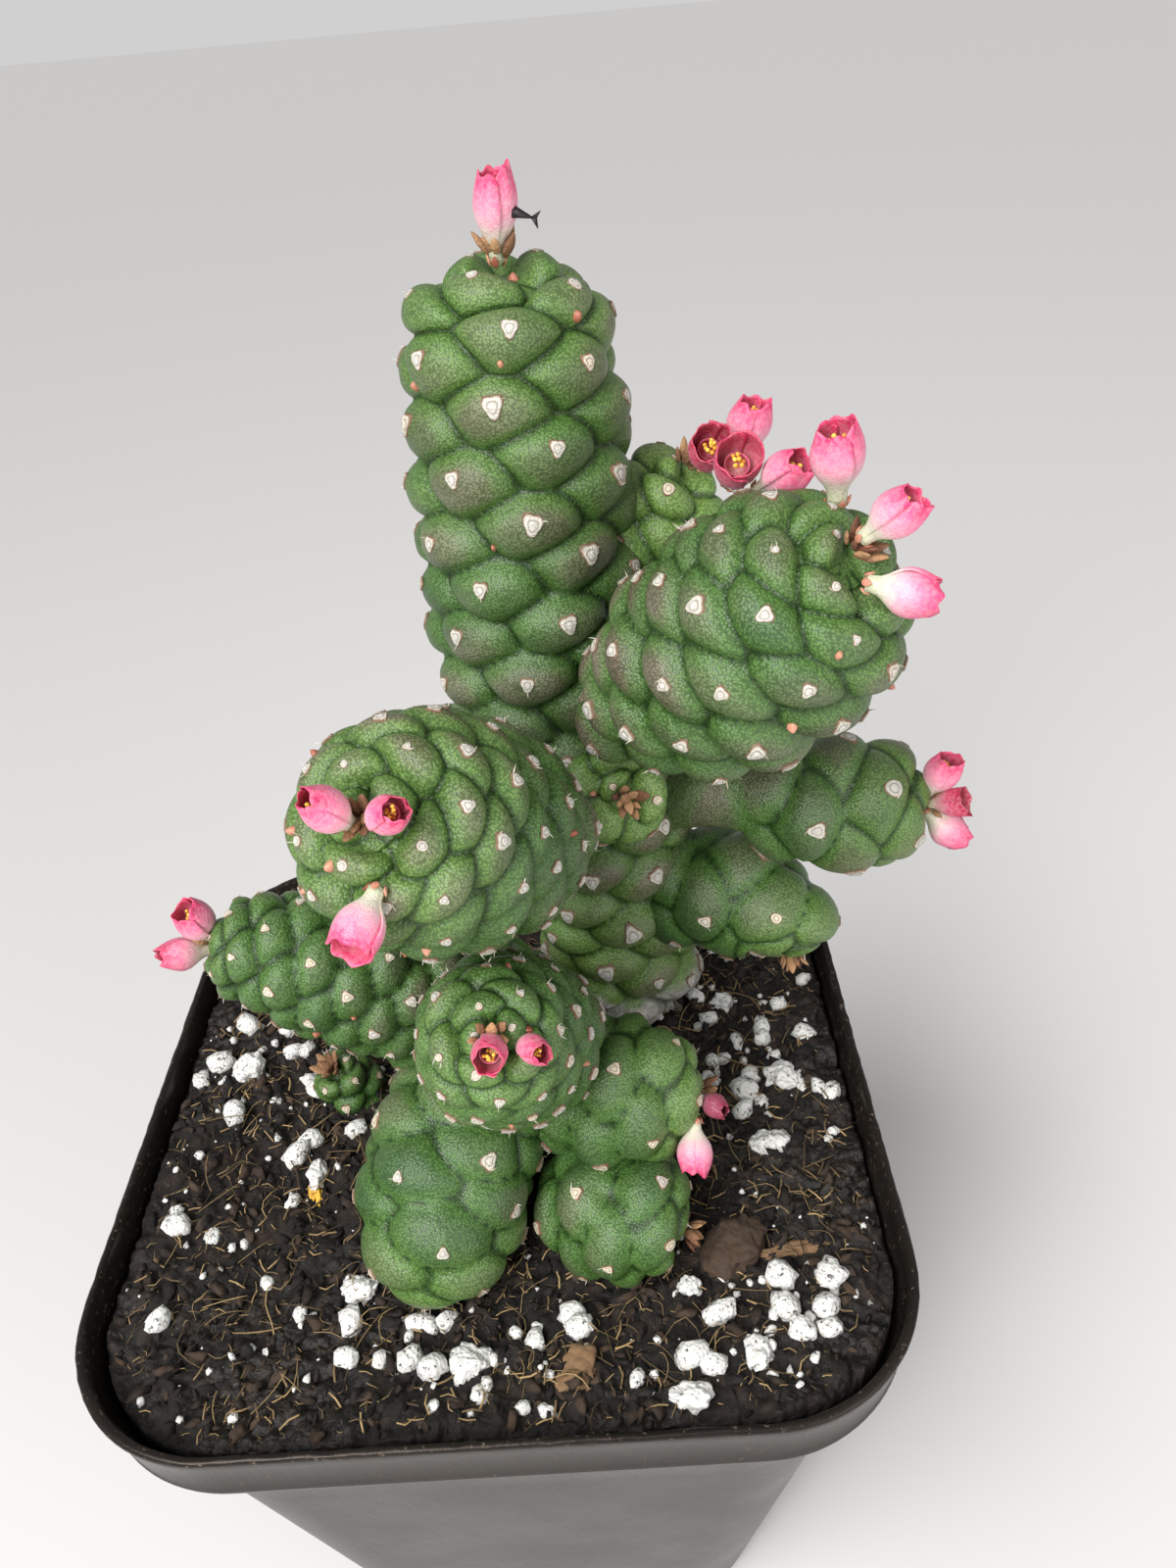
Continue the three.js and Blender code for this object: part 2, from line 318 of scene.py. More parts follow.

# %% [markdown]
# ## Plant materials
# The skin is matt green with a grain as fine as leather. It is yellow-green where it is young and in
# the creases, dark green on the flanks, and olive to grey-brown on the oldest, most exposed swellings.
# Right at each crease the colour is darkened again with painted shade.
# The foot of the main stem has turned to pale cork. Above the cork, the lower half of the main stem is
# made pale yellow-green, partly its own colour and partly painted light where the upper stems shade it.
# Each stem's mesh carries these facts as attributes, so the colours follow the shape instead of sliding over
# it.


# %% Skin
def build_skin():
    material, tree, shader = new_material("skin", 0.5)
    place = object_place(tree)
    cells, speckle = cell_grain(tree, place, 2700.0)
    ridge, youth_and_painted_light = attribute(tree, "ridge"), attribute(tree, "youth_and_painted_light")
    weather, cork = attribute(tree, "weather"), attribute(tree, "cork")
    broad = noise_node(tree, place, 70.0, 3.0)
    shade = spread(tree, broad, 0.35, 0.65)
    green = mix_colour(tree, shade, (0.052, 0.116, 0.035, 1), (0.094, 0.172, 0.053, 1))
    green = mix_colour(tree, youth_and_painted_light, green, (0.185, 0.300, 0.082, 1))
    shade = spread(tree, broad, 0.4, 0.6)
    olive = mix_colour(tree, shade, (0.118, 0.098, 0.064, 1), (0.185, 0.155, 0.118, 1))
    colour = mix_colour(tree, weather, green, olive)
    flank = mix_colour(tree, youth_and_painted_light, (0.095, 0.215, 0.040, 1), (0.21, 0.37, 0.075, 1))
    colour = mix_colour(tree, spread(tree, ridge, 0.10, 0.80, 0.60, 0.0), colour, flank)
    pale = dyed(tree, colour, (1.42, 1.36, 1.40))
    dark = dyed(tree, colour, (0.62, 0.64, 0.60))
    grain = times(tree, spread(tree, cells, 0.30, 0.85), spread(tree, speckle, 0.0, 1.0, 0.8, 1.0))
    colour = mix_colour(tree, grain, dark, pale)
    bark_grain = noise_node(tree, place, 500.0, 5.0, 0.7)
    corky = ramp(tree, bark_grain, [(0.3, (0.16, 0.14, 0.11)), (0.5, (0.38, 0.36, 0.32)),
                                    (0.72, (0.62, 0.60, 0.55))])
    colour = mix_colour(tree, cork, colour, corky)
    # Painted shade: the colour is darkened broadly towards each crease, and to a dark line right in it,
    # standing in for the shade that falls in the creases.
    deeper = dyed(tree, colour, (0.50, 0.58, 0.48))
    colour = mix_colour(tree, spread(tree, ridge, 0.0, 0.60, 0.62, 0.0), colour, deeper)
    painted_crease_shadow = dyed(tree, colour, (0.20, 0.25, 0.20))
    colour = mix_colour(tree, spread(tree, ridge, 0.0, 0.20, 0.92, 0.0), colour, painted_crease_shadow)
    feed(tree, colour, shader.inputs["Base Color"])
    feed(tree, spread(tree, grain, 0.0, 1.0, 0.36, 0.50), shader.inputs["Roughness"])
    height = math_node(tree, "ADD", cells, times(tree, bark_grain, times(tree, cork, 5.0)))
    bump(tree, shader, height, 0.5, 0.00022)
    shader.inputs["Specular IOR Level"].default_value = 0.45
    return material


SKIN = build_skin()


# %% Leaf scars, prickles and buds
def build_scar():
    material, tree, shader = new_material("leaf_scar", 0.75)
    place = object_place(tree)
    ring, old = attribute(tree, "ring"), attribute(tree, "shade")
    cells, speckle = cell_grain(tree, place, 3600.0)
    fresh = ramp(tree, ring, [(0.0, (0.62, 0.50, 0.30)), (0.34, (0.80, 0.72, 0.54)),
                              (0.46, (0.26, 0.15, 0.07)), (0.58, (0.78, 0.72, 0.58)),
                              (0.78, (0.72, 0.64, 0.50)), (0.90, (0.17, 0.06, 0.025))])
    worn = ramp(tree, ring, [(0.0, (0.40, 0.37, 0.32)), (0.36, (0.64, 0.62, 0.57)),
                             (0.48, (0.26, 0.23, 0.19)), (0.60, (0.66, 0.64, 0.58)),
                             (0.80, (0.62, 0.58, 0.50)), (0.91, (0.16, 0.075, 0.035))])
    colour = mix_colour(tree, spread(tree, old, 0.35, 0.65), fresh, worn)
    colour = mix_colour(tree, times(tree, speckle, 0.35), colour, (0.30, 0.26, 0.20, 1))
    feed(tree, colour, shader.inputs["Base Color"])
    feed(tree, spread(tree, speckle, 0.0, 1.0, 0.65, 0.85), shader.inputs["Roughness"])
    bump(tree, shader, cells, 0.6, 0.0002)
    return material


def build_tinted(name, roughness, dark, light, scale, grain_depth):
    """A small dry or fleshy piece whose shade attribute runs from one colour to another."""
    material, tree, shader = new_material(name, roughness)
    place = object_place(tree)
    cells, speckle = cell_grain(tree, place, scale)
    colour = mix_colour(tree, attribute(tree, "shade"), (*dark, 1), (*light, 1))
    paler = dyed(tree, colour, (1.45, 1.4, 1.35))
    colour = mix_colour(tree, times(tree, speckle, 0.5), colour, paler)
    feed(tree, colour, shader.inputs["Base Color"])
    dullness = spread(tree, speckle, 0.0, 1.0, roughness - 0.08, roughness + 0.08)
    feed(tree, dullness, shader.inputs["Roughness"])
    bump(tree, shader, cells, 0.5, grain_depth)
    return material


SCAR = build_scar()
PRICKLE = build_tinted("prickle", 0.6, (0.45, 0.38, 0.28), (0.75, 0.72, 0.64), 4000.0, 0.00005)
BUD = build_tinted("axil_bud", 0.5, (0.25, 0.05, 0.025), (0.62, 0.30, 0.20), 3000.0, 0.0001)
DRY = build_tinted("dried_remains", 0.8, (0.10, 0.035, 0.018), (0.42, 0.24, 0.12), 2200.0, 0.0003)
STYLE = build_tinted("dry_style", 0.6, (0.010, 0.006, 0.008), (0.04, 0.02, 0.02), 3000.0, 0.0001)
ANTHER = build_tinted("anther", 0.6, (0.62, 0.30, 0.03), (0.90, 0.66, 0.10), 5000.0, 0.0001)


# %% Petals
def build_petal():
    """Whitish green at the foot, pink above and hot pink at the lip; red and deeper on the inside."""
    material, tree, shader = new_material("petal", 0.42)
    place = object_place(tree)
    cells, speckle = cell_grain(tree, place, 3000.0)
    along, inner = attribute(tree, "along"), attribute(tree, "inner")
    deep, dry = attribute(tree, "deep"), attribute(tree, "dry")
    streak = noise_node(tree, place, 900.0, 3.0)
    wander = times(tree, math_node(tree, "SUBTRACT", streak, 0.5), 0.30)
    reach = math_node(tree, "ADD", along, wander)
    pale = ramp(tree, reach, [(0.10, (0.50, 0.56, 0.36)), (0.30, (0.74, 0.72, 0.60)),
                              (0.46, (0.84, 0.46, 0.54)), (0.74, (0.83, 0.20, 0.35)),
                              (0.95, (0.76, 0.05, 0.18))])
    rich = ramp(tree, reach, [(0.12, (0.52, 0.48, 0.34)), (0.34, (0.72, 0.33, 0.38)),
                              (0.62, (0.66, 0.08, 0.18)), (0.95, (0.50, 0.015, 0.07))])
    outside = mix_colour(tree, deep, pale, rich)
    light_inside = ramp(tree, reach, [(0.3, (0.86, 0.62, 0.56)), (0.62, (0.78, 0.24, 0.34)),
                                      (0.95, (0.78, 0.05, 0.17))])
    inside = mix_colour(tree, deep, light_inside, (0.46, 0.02, 0.07, 1))
    colour = mix_colour(tree, inner, outside, inside)
    colour = mix_colour(tree, times(tree, speckle, 0.18), colour, (0.92, 0.62, 0.62, 1))
    colour = mix_colour(tree, dry, colour, (0.16, 0.025, 0.05, 1))
    feed(tree, colour, shader.inputs["Base Color"])
    feed(tree, spread(tree, speckle, 0.0, 1.0, 0.36, 0.5), shader.inputs["Roughness"])
    bump(tree, shader, math_node(tree, "ADD", cells, streak), 0.35, 0.00018)
    return material


PETAL = build_petal()
print("plant materials:", [m.name for m in (SKIN, SCAR, PRICKLE, BUD, DRY, ANTHER, PETAL)])

# %% [markdown]
# ## Pot and soil materials
# The pot is thin moulded plastic, almost black, and glossy enough to mirror the room, with fine
# scratches and a dusting of soil near the rim. The soil is damp peat: nearly black, with brown fibres
# on it. Perlite is white and pitted, with peat stuck in the pits.


# %% Pot plastic
def build_plastic():
    material, tree, shader = new_material("black_plastic", 0.3)
    place = object_place(tree)
    stretched = add_node(tree, "ShaderNodeMapping")
    stretched.inputs["Scale"].default_value = (1.0, 1.0, 0.06)
    tree.links.new(place, stretched.inputs["Vector"])
    scuffs = noise_node(tree, stretched.outputs["Vector"], 900.0, 4.0, 0.6)
    smears = noise_node(tree, place, 38.0, 4.0, 0.6)
    dust = flecks(tree, place, 1100.0, 0.42)
    height = add_node(tree, "ShaderNodeSeparateXYZ")
    tree.links.new(place, height.inputs["Vector"])
    near_rim = spread(tree, height.outputs["Z"], RIM_HEIGHT - 0.03, RIM_HEIGHT, 0.15, 1.0)
    dusty = times(tree, dust, near_rim)
    patchy = spread(tree, smears, 0.35, 0.7)
    black = mix_colour(tree, patchy, (0.011, 0.009, 0.008, 1), (0.018, 0.0145, 0.012, 1))
    colour = mix_colour(tree, times(tree, dusty, 0.6), black, (0.20, 0.15, 0.11, 1))
    feed(tree, colour, shader.inputs["Base Color"])
    dullness = math_node(tree, "ADD", spread(tree, smears, 0.3, 0.7, 0.27, 0.34), times(tree, dusty, 0.4))
    feed(tree, dullness, shader.inputs["Roughness"])
    bump(tree, shader, math_node(tree, "ADD", scuffs, times(tree, smears, 1.5)), 0.18, 0.0004)
    shader.inputs["Specular IOR Level"].default_value = 0.24
    # Painted reflection: the brown specular tint colours the pot's reflections as if a brown floor were
    # mirrored in it.
    shader.inputs["Specular Tint"].default_value = (1.0, 0.86, 0.76, 1)
    return material


# %% Soil, fibres, perlite and bark
def build_soil():
    material, tree, shader = new_material("peat", 0.85)
    place = object_place(tree)
    clods = noise_node(tree, place, 260.0, 6.0, 0.7)
    crumb = add_node(tree, "ShaderNodeTexVoronoi", feature="F1")
    tree.links.new(place, crumb.inputs["Vector"])
    crumb.inputs["Scale"].default_value = 620.0
    colour = ramp(tree, clods, [(0.30, (0.003, 0.0022, 0.0018)), (0.50, (0.008, 0.0052, 0.0036)),
                                (0.66, (0.028, 0.016, 0.010)), (0.80, (0.09, 0.055, 0.030))])
    specks = flecks(tree, place, 1500.0, 0.30)
    colour = mix_colour(tree, times(tree, specks, 0.55), colour, (0.36, 0.30, 0.24, 1))
    feed(tree, colour, shader.inputs["Base Color"])
    damp = noise_node(tree, place, 28.0, 3.0)
    feed(tree, spread(tree, damp, 0.35, 0.6, 0.5, 0.92), shader.inputs["Roughness"])
    height = math_node(tree, "SUBTRACT", clods, times(tree, crumb.outputs["Distance"], 0.6))
    bump(tree, shader, height, 0.9, 0.0011)
    return material


def build_perlite():
    material, tree, shader = new_material("perlite", 0.8)
    place = object_place(tree)
    pits = add_node(tree, "ShaderNodeTexVoronoi", feature="F1")
    tree.links.new(place, pits.inputs["Vector"])
    pits.inputs["Scale"].default_value = 1500.0
    tone = noise_node(tree, place, 420.0, 3.0)
    white = mix_colour(tree, tone, (0.60, 0.58, 0.54, 1), (0.88, 0.88, 0.86, 1))
    dirt = flecks(tree, place, 1300.0, 0.50)
    colour = mix_colour(tree, times(tree, dirt, 0.92), white, (0.035, 0.024, 0.016, 1))
    feed(tree, colour, shader.inputs["Base Color"])
    feed(tree, spread(tree, tone, 0.3, 0.7, 0.7, 0.9), shader.inputs["Roughness"])
    height = math_node(tree, "SUBTRACT", pits.outputs["Distance"], times(tree, dirt, 0.5))
    bump(tree, shader, height, 0.6, 0.0004)
    return material


PLASTIC = build_plastic()
PEAT = build_soil()
FIBRE = build_tinted("plant_fibre", 0.8, (0.030, 0.017, 0.009), (0.38, 0.26, 0.12), 1800.0, 0.0002)
CRUMB = build_tinted("peat_crumb", 0.9, (0.005, 0.0035, 0.0028), (0.055, 0.033, 0.020), 900.0, 0.0006)
WHITE = build_perlite()
BARK = build_tinted("bark", 0.8, (0.085, 0.045, 0.022), (0.30, 0.18, 0.09), 700.0, 0.0008)
print("pot and soil materials:", [m.name for m in (PLASTIC, PEAT, FIBRE, CRUMB, WHITE, BARK)])

# %% [markdown]
# ## Turning shapes into pieces
# Every piece ends the same way: a mesh becomes an object at the origin, gets its material and smooth
# shading, and rides on the plant's one rigid body. Small things that repeat, such as scars and crumbs,
# are made once as a template and copied to many places in one mesh.


# %% Piece helpers
def shape_from(bm, name):
    mesh = bpy.data.meshes.new(name)
    bm.to_mesh(mesh)
    bm.free()
    return mesh


def finish_piece(name, mesh, material, replaces=()):
    mesh.name = name
    mesh.polygons.foreach_set("use_smooth", [True] * len(mesh.polygons))
    mesh.materials.clear()
    mesh.materials.append(material)
    piece = bpy.data.objects.new(name, mesh)
    bpy.context.collection.objects.link(piece)
    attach(piece, "root")
    if replaces:
        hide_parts(*replaces)
    return piece


def points_of(mesh):
    flat = np.empty(len(mesh.vertices) * 3)
    mesh.vertices.foreach_get("co", flat)
    return flat.reshape(-1, 3)


def set_points(mesh, points):
    mesh.vertices.foreach_set("co", np.ascontiguousarray(points, dtype=np.float32).ravel())
    mesh.update()


def tag(mesh, name, values):
    """Stores one number for each vertex, for a material to read."""
    layer = mesh.attributes.new(name, "FLOAT", "POINT")
    numbers = np.broadcast_to(np.asarray(values, dtype=np.float32), len(mesh.vertices))
    layer.data.foreach_set("value", numbers.copy())


def repeat_shape(template, places, shades):
    """Copies a template mesh to every 4 by 4 placement. Each copy gets one number from shades."""
    places, shades = np.asarray(places), np.asarray(shades, dtype=np.float32)
    shape = points_of(template)
    corners = np.empty(len(template.loops), dtype=np.int64)
    template.loops.foreach_get("vertex_index", corners)
    sides = np.empty(len(template.polygons), dtype=np.int64)
    template.polygons.foreach_get("loop_total", sides)
    copies = len(places)
    points = np.einsum("nij,vj->nvi", places[:, :3, :3], shape) + places[:, None, :3, 3]
    mesh = bpy.data.meshes.new(template.name)
    mesh.vertices.add(copies * len(shape))
    mesh.loops.add(copies * len(corners))
    mesh.polygons.add(copies * len(sides))
    mesh.vertices.foreach_set("co", points.astype(np.float32).ravel())
    offset = (np.arange(copies) * len(shape))[:, None]
    mesh.loops.foreach_set("vertex_index", (corners[None] + offset).ravel().astype(np.int32))
    totals = np.tile(sides, copies)
    mesh.polygons.foreach_set("loop_start", (np.cumsum(totals) - totals).astype(np.int32))
    mesh.update(calc_edges=True)
    tag(mesh, "shade", np.repeat(shades, len(shape)))
    if "ring" in template.attributes:
        rings = np.empty(len(shape), dtype=np.float32)
        template.attributes["ring"].data.foreach_get("value", rings)
        tag(mesh, "ring", np.tile(rings, copies))
    return mesh


def join_meshes(name, meshes):
    bm = bmesh.new()
    for mesh in meshes:
        bm.from_mesh(mesh)
    return shape_from(bm, name)


def placement(point, out, along, size, turn=0.0):
    """A 4 by 4 placement whose Z points out of a surface and whose Y points as nearly along as it can."""
    z = Vector(out).normalized()
    y = Vector(along) - z * Vector(along).dot(z)
    y = y.normalized() if y.length > 1e-6 else z.orthogonal().normalized()
    base = Matrix((y.cross(z), y, z)).transposed().to_4x4()
    scale = Matrix.Diagonal((*size, 1))
    return np.array(Matrix.Translation(Vector(point)) @ base @ Matrix.Rotation(turn, 4, "Z") @ scale)


# %% [markdown]
# ## The stems
# A stem could be sculpted by hand, or built from hundreds of separate lumps. A real one is a single
# skin swollen by tubercles that sit on a golden-angle spiral, so that is what is modelled: a sphere is
# drawn out along the stem's axis, the spiral is laid over it, and every point of the skin rises with the
# dome of the tubercle it is nearest to. Where two domes meet there is a sharp crease, which gives the
# pine-cone pattern without drawing it. The axes and radii are the same as the solid stems'.

# %% Stem table
# axis and radii in millimetres from the attached end to the tip. cell is the area of a full tubercle
# in square millimetres and rows how many tubercles it takes from the tip to reach that size. swell is
# how much they stand out, weather how sun-worn the skin is and youth_and_painted_light how yellow-green,
# which on the main stem's lower half is partly painted light. bare is the share of a stem, from its
# root, that has no tubercles at all.
STEMS = {
    "main_stem": dict(
        axis=[(25, 36, 90), (23, 32, 110), (22, 28, 147), (15, 25, 184), (14, 25, 220), (14, 25, 255)],
        radii=[13, 15, 15.5, 15.5, 16, 16.5, 15.5, 13], cell=118, rows=5, weather=0.75, youth_and_painted_light=0.1),
    "right_upper_stem": dict(
        axis=[(24, 14, 188), (35, 2, 200), (46, -8, 213), (55, -16, 227)],
        radii=[7.5, 10.5, 15, 16.5, 15.5, 11], cell=92, swell=0.9, rows=11, weather=0.95, youth_and_painted_light=0.0),
    "left_upper_stem": dict(
        axis=[(14, 18, 170), (9, -2, 178), (2, -20, 192), (-5, -38, 209)],
        radii=[7, 8.5, 13.5, 15.5, 15, 11], cell=72, swell=0.9, rows=12, weather=0.9, youth_and_painted_light=0.1),
    "back_stem": dict(
        axis=[(20, 31, 192), (29, 30, 206), (39, 27, 223)],
        radii=[9, 10, 10, 8], cell=85, swell=0.8, rows=3, weather=0.1, youth_and_painted_light=0.7),
    "right_arm_stem": dict(
        axis=[(25, 26, 162), (43, 20, 167), (58, 17, 165), (78, 15, 164)],
        radii=[7, 6.5, 7, 11.5, 11.5, 8.5], cell=175, bare=0.44, swell=0.5, rows=3, weather=0.7, youth_and_painted_light=0.3),
    "right_low_stem": dict(
        axis=[(28, 26, 138), (41, 20, 145), (52, 13, 142), (54, 9, 136)],
        radii=[8, 11, 12, 10.5, 8], cell=150, swell=0.38, rows=3, weather=0.25, youth_and_painted_light=0.25),
    "centre_stem": dict(
        axis=[(19, 18, 172), (25, 6, 178), (26, 1, 180)],
        radii=[8, 9, 8.5, 7], cell=85, swell=0.6, rows=2, weather=0.1, youth_and_painted_light=0.7),
    "left_back_stem": dict(
        axis=[(12, 28, 158), (2, 27, 170), (-8, 26, 181)],
        radii=[8, 9.5, 9, 7], cell=75, swell=0.8, rows=4, weather=0.6, youth_and_painted_light=0.0),
    "front_stem": dict(
        axis=[(8, 4, 122), (7, -16, 147), (5, -30, 163), (6, -40, 174)],
        radii=[10, 12, 12.5, 12, 8], cell=62, swell=0.8, rows=11, weather=0.5, youth_and_painted_light=0.0),
    "left_low_stem": dict(
        axis=[(8, 8, 120), (-10, 0, 143), (-27, -5, 157), (-43, -5, 163)],
        radii=[12, 14, 13, 11.5, 6.5], cell=52, swell=0.85, rows=12, weather=0.35, youth_and_painted_light=0.0),
    "right_foot_upper_stem": dict(
        axis=[(12, -6, 124), (20, -18, 136), (35, -18, 134)],
        radii=[10, 11.5, 11.5, 8], cell=76, swell=0.65, rows=4, weather=0.05, youth_and_painted_light=0.4),
    "front_foot_stem": dict(
        axis=[(0, -8, 132), (-6, -20, 129), (-9, -30, 122), (-10, -34, 111)],
        radii=[11, 13.5, 14, 13, 10], cell=98, swell=0.5, rows=5, weather=0.25, youth_and_painted_light=0.3),
    "right_foot_lower_stem": dict(
        axis=[(12, -21, 112), (20, -29, 120), (31, -33, 118)],
        radii=[8, 11, 11, 8], cell=76, swell=0.65, rows=4, weather=0.05, youth_and_painted_light=0.25),
    "offset_stem": dict(
        axis=[(-26, 8, 100), (-31, 6, 114), (-33, 4, 121)],
        radii=[5, 6, 6, 4], cell=40, swell=0.8, rows=4, weather=0.3, youth_and_painted_light=0.0),
}
GOLDEN_ANGLE = math.radians(137.508)
SKIN_STEP = 0.535 * MM        # size of one face of the skin
CAP_SHARE = 0.65              # length of a rounded end as a share of the radius
GROOVE_SHARE = 0.125          # depth of a crease as a share of a tubercle's size
DROOP = 0.2                   # how far a tubercle leans to the root for each millimetre of its height
CORK_TOP = 121.5 * MM         # height of the pale cork at the foot of the main stem
BARE_FADE = 0.12              # share of a stem over which its tubercles swell up from a bare neck
BATCH = 3000                  # points worked out at a time


# %% Stem axis
class StemAxis:
    """A smooth centre line with a radius and a frame at every point along it."""

    def __init__(self, axis, radii, samples=240):
        knots = np.array(axis, dtype=float) * MM
        knots = np.vstack([2 * knots[0] - knots[1], knots, 2 * knots[-1] - knots[-2]])
        spans = len(knots) - 3
        line = []
        for share in np.linspace(0, spans, samples, endpoint=True):
            i = min(int(share), spans - 1)
            t = share - i
            a, b, c, d = knots[i:i + 4]
            line.append(0.5 * (2 * b + (c - a) * t + (2 * a - 5 * b + 4 * c - d) * t**2
                               + (3 * b - a - 3 * c + d) * t**3))
        self.line = np.array(line)
        steps = np.linalg.norm(np.diff(self.line, axis=0), axis=1)
        self.reach = np.concatenate([[0], np.cumsum(steps)])
        self.length = self.reach[-1]
        self.ahead = np.gradient(self.line, self.reach, axis=0)
        self.ahead /= np.linalg.norm(self.ahead, axis=1)[:, None]
        side = np.cross(self.ahead[0], (0.3, 0.9, 0.2))
        sides = []
        for direction in self.ahead:
            side = side - direction * side.dot(direction)
            side = side / np.linalg.norm(side)
            sides.append(side)
        self.side = np.array(sides)
        self.over = np.cross(self.ahead, self.side)
        stations = np.linspace(0, self.length, len(radii))
        rough = np.interp(self.reach, stations, np.array(radii) * MM)
        window = np.hanning(31)
        padded = np.pad(rough, 15, mode="edge")
        self.radius = np.convolve(padded, window / window.sum(), mode="valid")

    def at(self, values, s):
        if values.ndim == 1:
            return np.interp(s, self.reach, values)
        return np.stack([np.interp(s, self.reach, values[:, i]) for i in range(3)], axis=-1)

    def girth(self, s):
        """Radius with the two ends rounded off."""
        radius = self.at(self.radius, s)
        shoulder = np.clip(1 - np.minimum(s, self.length - s) / (radius * CAP_SHARE), 0, 1)
        return radius * np.sqrt(np.clip(1 - shoulder**2, 0, 1))

    def surface(self, s, angle):
        """Point and outward direction of the smooth skin."""
        def point(where, around):
            radial = (self.at(self.side, where) * np.cos(around)[..., None]
                      + self.at(self.over, where) * np.sin(around)[..., None])
            return self.at(self.line, where) + radial * self.girth(where)[..., None], radial
        here, radial = point(s, angle)
        step = 0.25 * MM
        ahead, _ = point(np.minimum(s + step, self.length), angle)
        behind, _ = point(np.maximum(s - step, 0), angle)
        run = ahead - behind
        out = radial - run * (np.sum(radial * run, -1) / np.maximum(np.sum(run * run, -1), 1e-14))[..., None]
        near_tip = np.clip(1 - (self.length - s) / (0.6 * MM), 0, 1)[..., None]
        near_root = np.clip(1 - s / (0.6 * MM), 0, 1)[..., None]
        direction = self.at(self.ahead, s)
        out = out * (1 - near_tip) * (1 - near_root) + direction * near_tip - direction * near_root
        return here, out / np.maximum(np.linalg.norm(out, axis=-1), 1e-9)[..., None]


# %% Tubercle spiral
class Tubercles:
    """Centres, directions and sizes of the swellings on a stem, numbered from its tip."""

    def __init__(self, axis, cell, rows, swell, bare, luck):
        s_fine = np.linspace(axis.length, 0, 900)
        band = 2 * np.pi * np.maximum(axis.girth(s_fine), 0.5 * MM) * (axis.length / 899)
        covered = np.concatenate([[0], np.cumsum(band)[:-1]])
        full = cell * MM**2
        used, s_list, areas = 0.0, [], []
        while True:
            area = full * (0.10 + 0.90 * (1 - math.exp(-((len(areas) / rows) ** 1.2))))
            used += area / 2
            if used > covered[-1]:
                break
            s_list.append(np.interp(used, covered, s_fine))
            areas.append(area)
            used += area / 2
        count = len(areas)
        self.angle = -GOLDEN_ANGLE * np.arange(count) + luck.normal(0, 0.045, count)
        moved = np.array(s_list) + luck.normal(0, 0.3, count) * MM
        self.s = np.clip(moved, 0.2 * MM, axis.length - 0.2 * MM)
        self.size = np.sqrt(areas)
        self.bare = bare
        self.tall = 0.29 * swell * self.size * luck.uniform(0.85, 1.15, count)
        self.sink = 0.135 * swell * math.sqrt(full)
        self.groove = GROOVE_SHARE * (0.4 + 0.6 * swell) * self.size
        self.nudge = 0.05 * self.size
        self.girth = np.maximum(axis.girth(self.s), 3 * MM)
        self.centre, self.out = axis.surface(self.s, self.angle)
        self.ahead = axis.at(axis.ahead, self.s)
        along = self.ahead - self.out * np.sum(self.ahead * self.out, -1)[:, None]
        lengths = np.linalg.norm(along, axis=1)[:, None]
        self.along = np.where(lengths > 1e-3, along / np.maximum(lengths, 1e-9), axis.side[-1])
        self.across = np.cross(self.along, self.out)

    def distance(self, number, across_squared, along):
        """How far a place is from a tubercle's centre, where 1 is about the edge of its lens."""
        wide = 0.98 * self.size[number]
        long = np.where(along > 0, 0.38, 0.70) * self.size[number]
        return np.sqrt(across_squared / wide**2 + (along / long) ** 2)

    def relief(self, points):
        """Height of the skin over each point, how far it is from a crease, and its tubercle."""
        height = np.empty(len(points))
        ridge = np.empty(len(points))
        nearest = np.empty(len(points), dtype=int)
        number = np.arange(len(self.s))[None]
        for start in range(0, len(points), BATCH):
            part = slice(start, start + BATCH)
            offset = points[part, None, :] - self.centre[None]
            across = np.einsum("vki,ki->vk", offset, self.across)
            along = np.einsum("vki,ki->vk", offset, self.along)
            depth = np.einsum("vki,ki->vk", offset, self.out)
            reach = self.distance(number, across**2 + depth**2, along)
            owner = np.argmin(reach, axis=1)
            order = np.partition(reach, 1, axis=1)
            own, other = order[:, 0], order[:, 1]
            gap = (other - own) * self.size[owner] * 0.30
            crease = self.groove[owner] * np.exp(-gap / (0.10 * self.size[owner]))
            height[part] = self.tall[owner] * (1 - own**2) - crease
            ridge[part] = np.clip(gap / (3 * MM), 0, 1)
            nearest[part] = owner
        return height, ridge, nearest

    def nose_point(self, number, x, y):
        """Point of the skin near a tubercle's scar, x across it and y toward the tip."""
        y = y + self.nudge[number]
        rise = self.tall[number] * (1 - self.distance(number, x**2, y) ** 2) - self.sink
        level = rise - x**2 / (2 * self.girth[number])
        lean = DROOP * np.maximum(rise + self.sink, 0)
        return (self.centre[number] + self.across[number] * x[:, None] + self.along[number] * y[:, None]
                + self.out[number] * level[:, None] - self.ahead[number] * lean[:, None])


def displaced(axis, tubercles, s, angle):
    """The finished skin at any place on a stem, how far it is from a crease, and its tubercle."""
    base, out = axis.surface(s, angle)
    height, ridge, nearest = tubercles.relief(base)
    swollen = np.clip((s / axis.length - tubercles.bare) / BARE_FADE + 0.5, 0, 1) if tubercles.bare else 1.0
    lift = (np.maximum(height, -2.5 * MM) - tubercles.sink) * swollen
    lean = DROOP * np.maximum(height, 0) * swollen
    ridge = np.maximum(ridge, 0.4 * (1 - swollen))
    return base + out * lift[:, None] - axis.at(axis.ahead, s) * lean[:, None], out, ridge, nearest


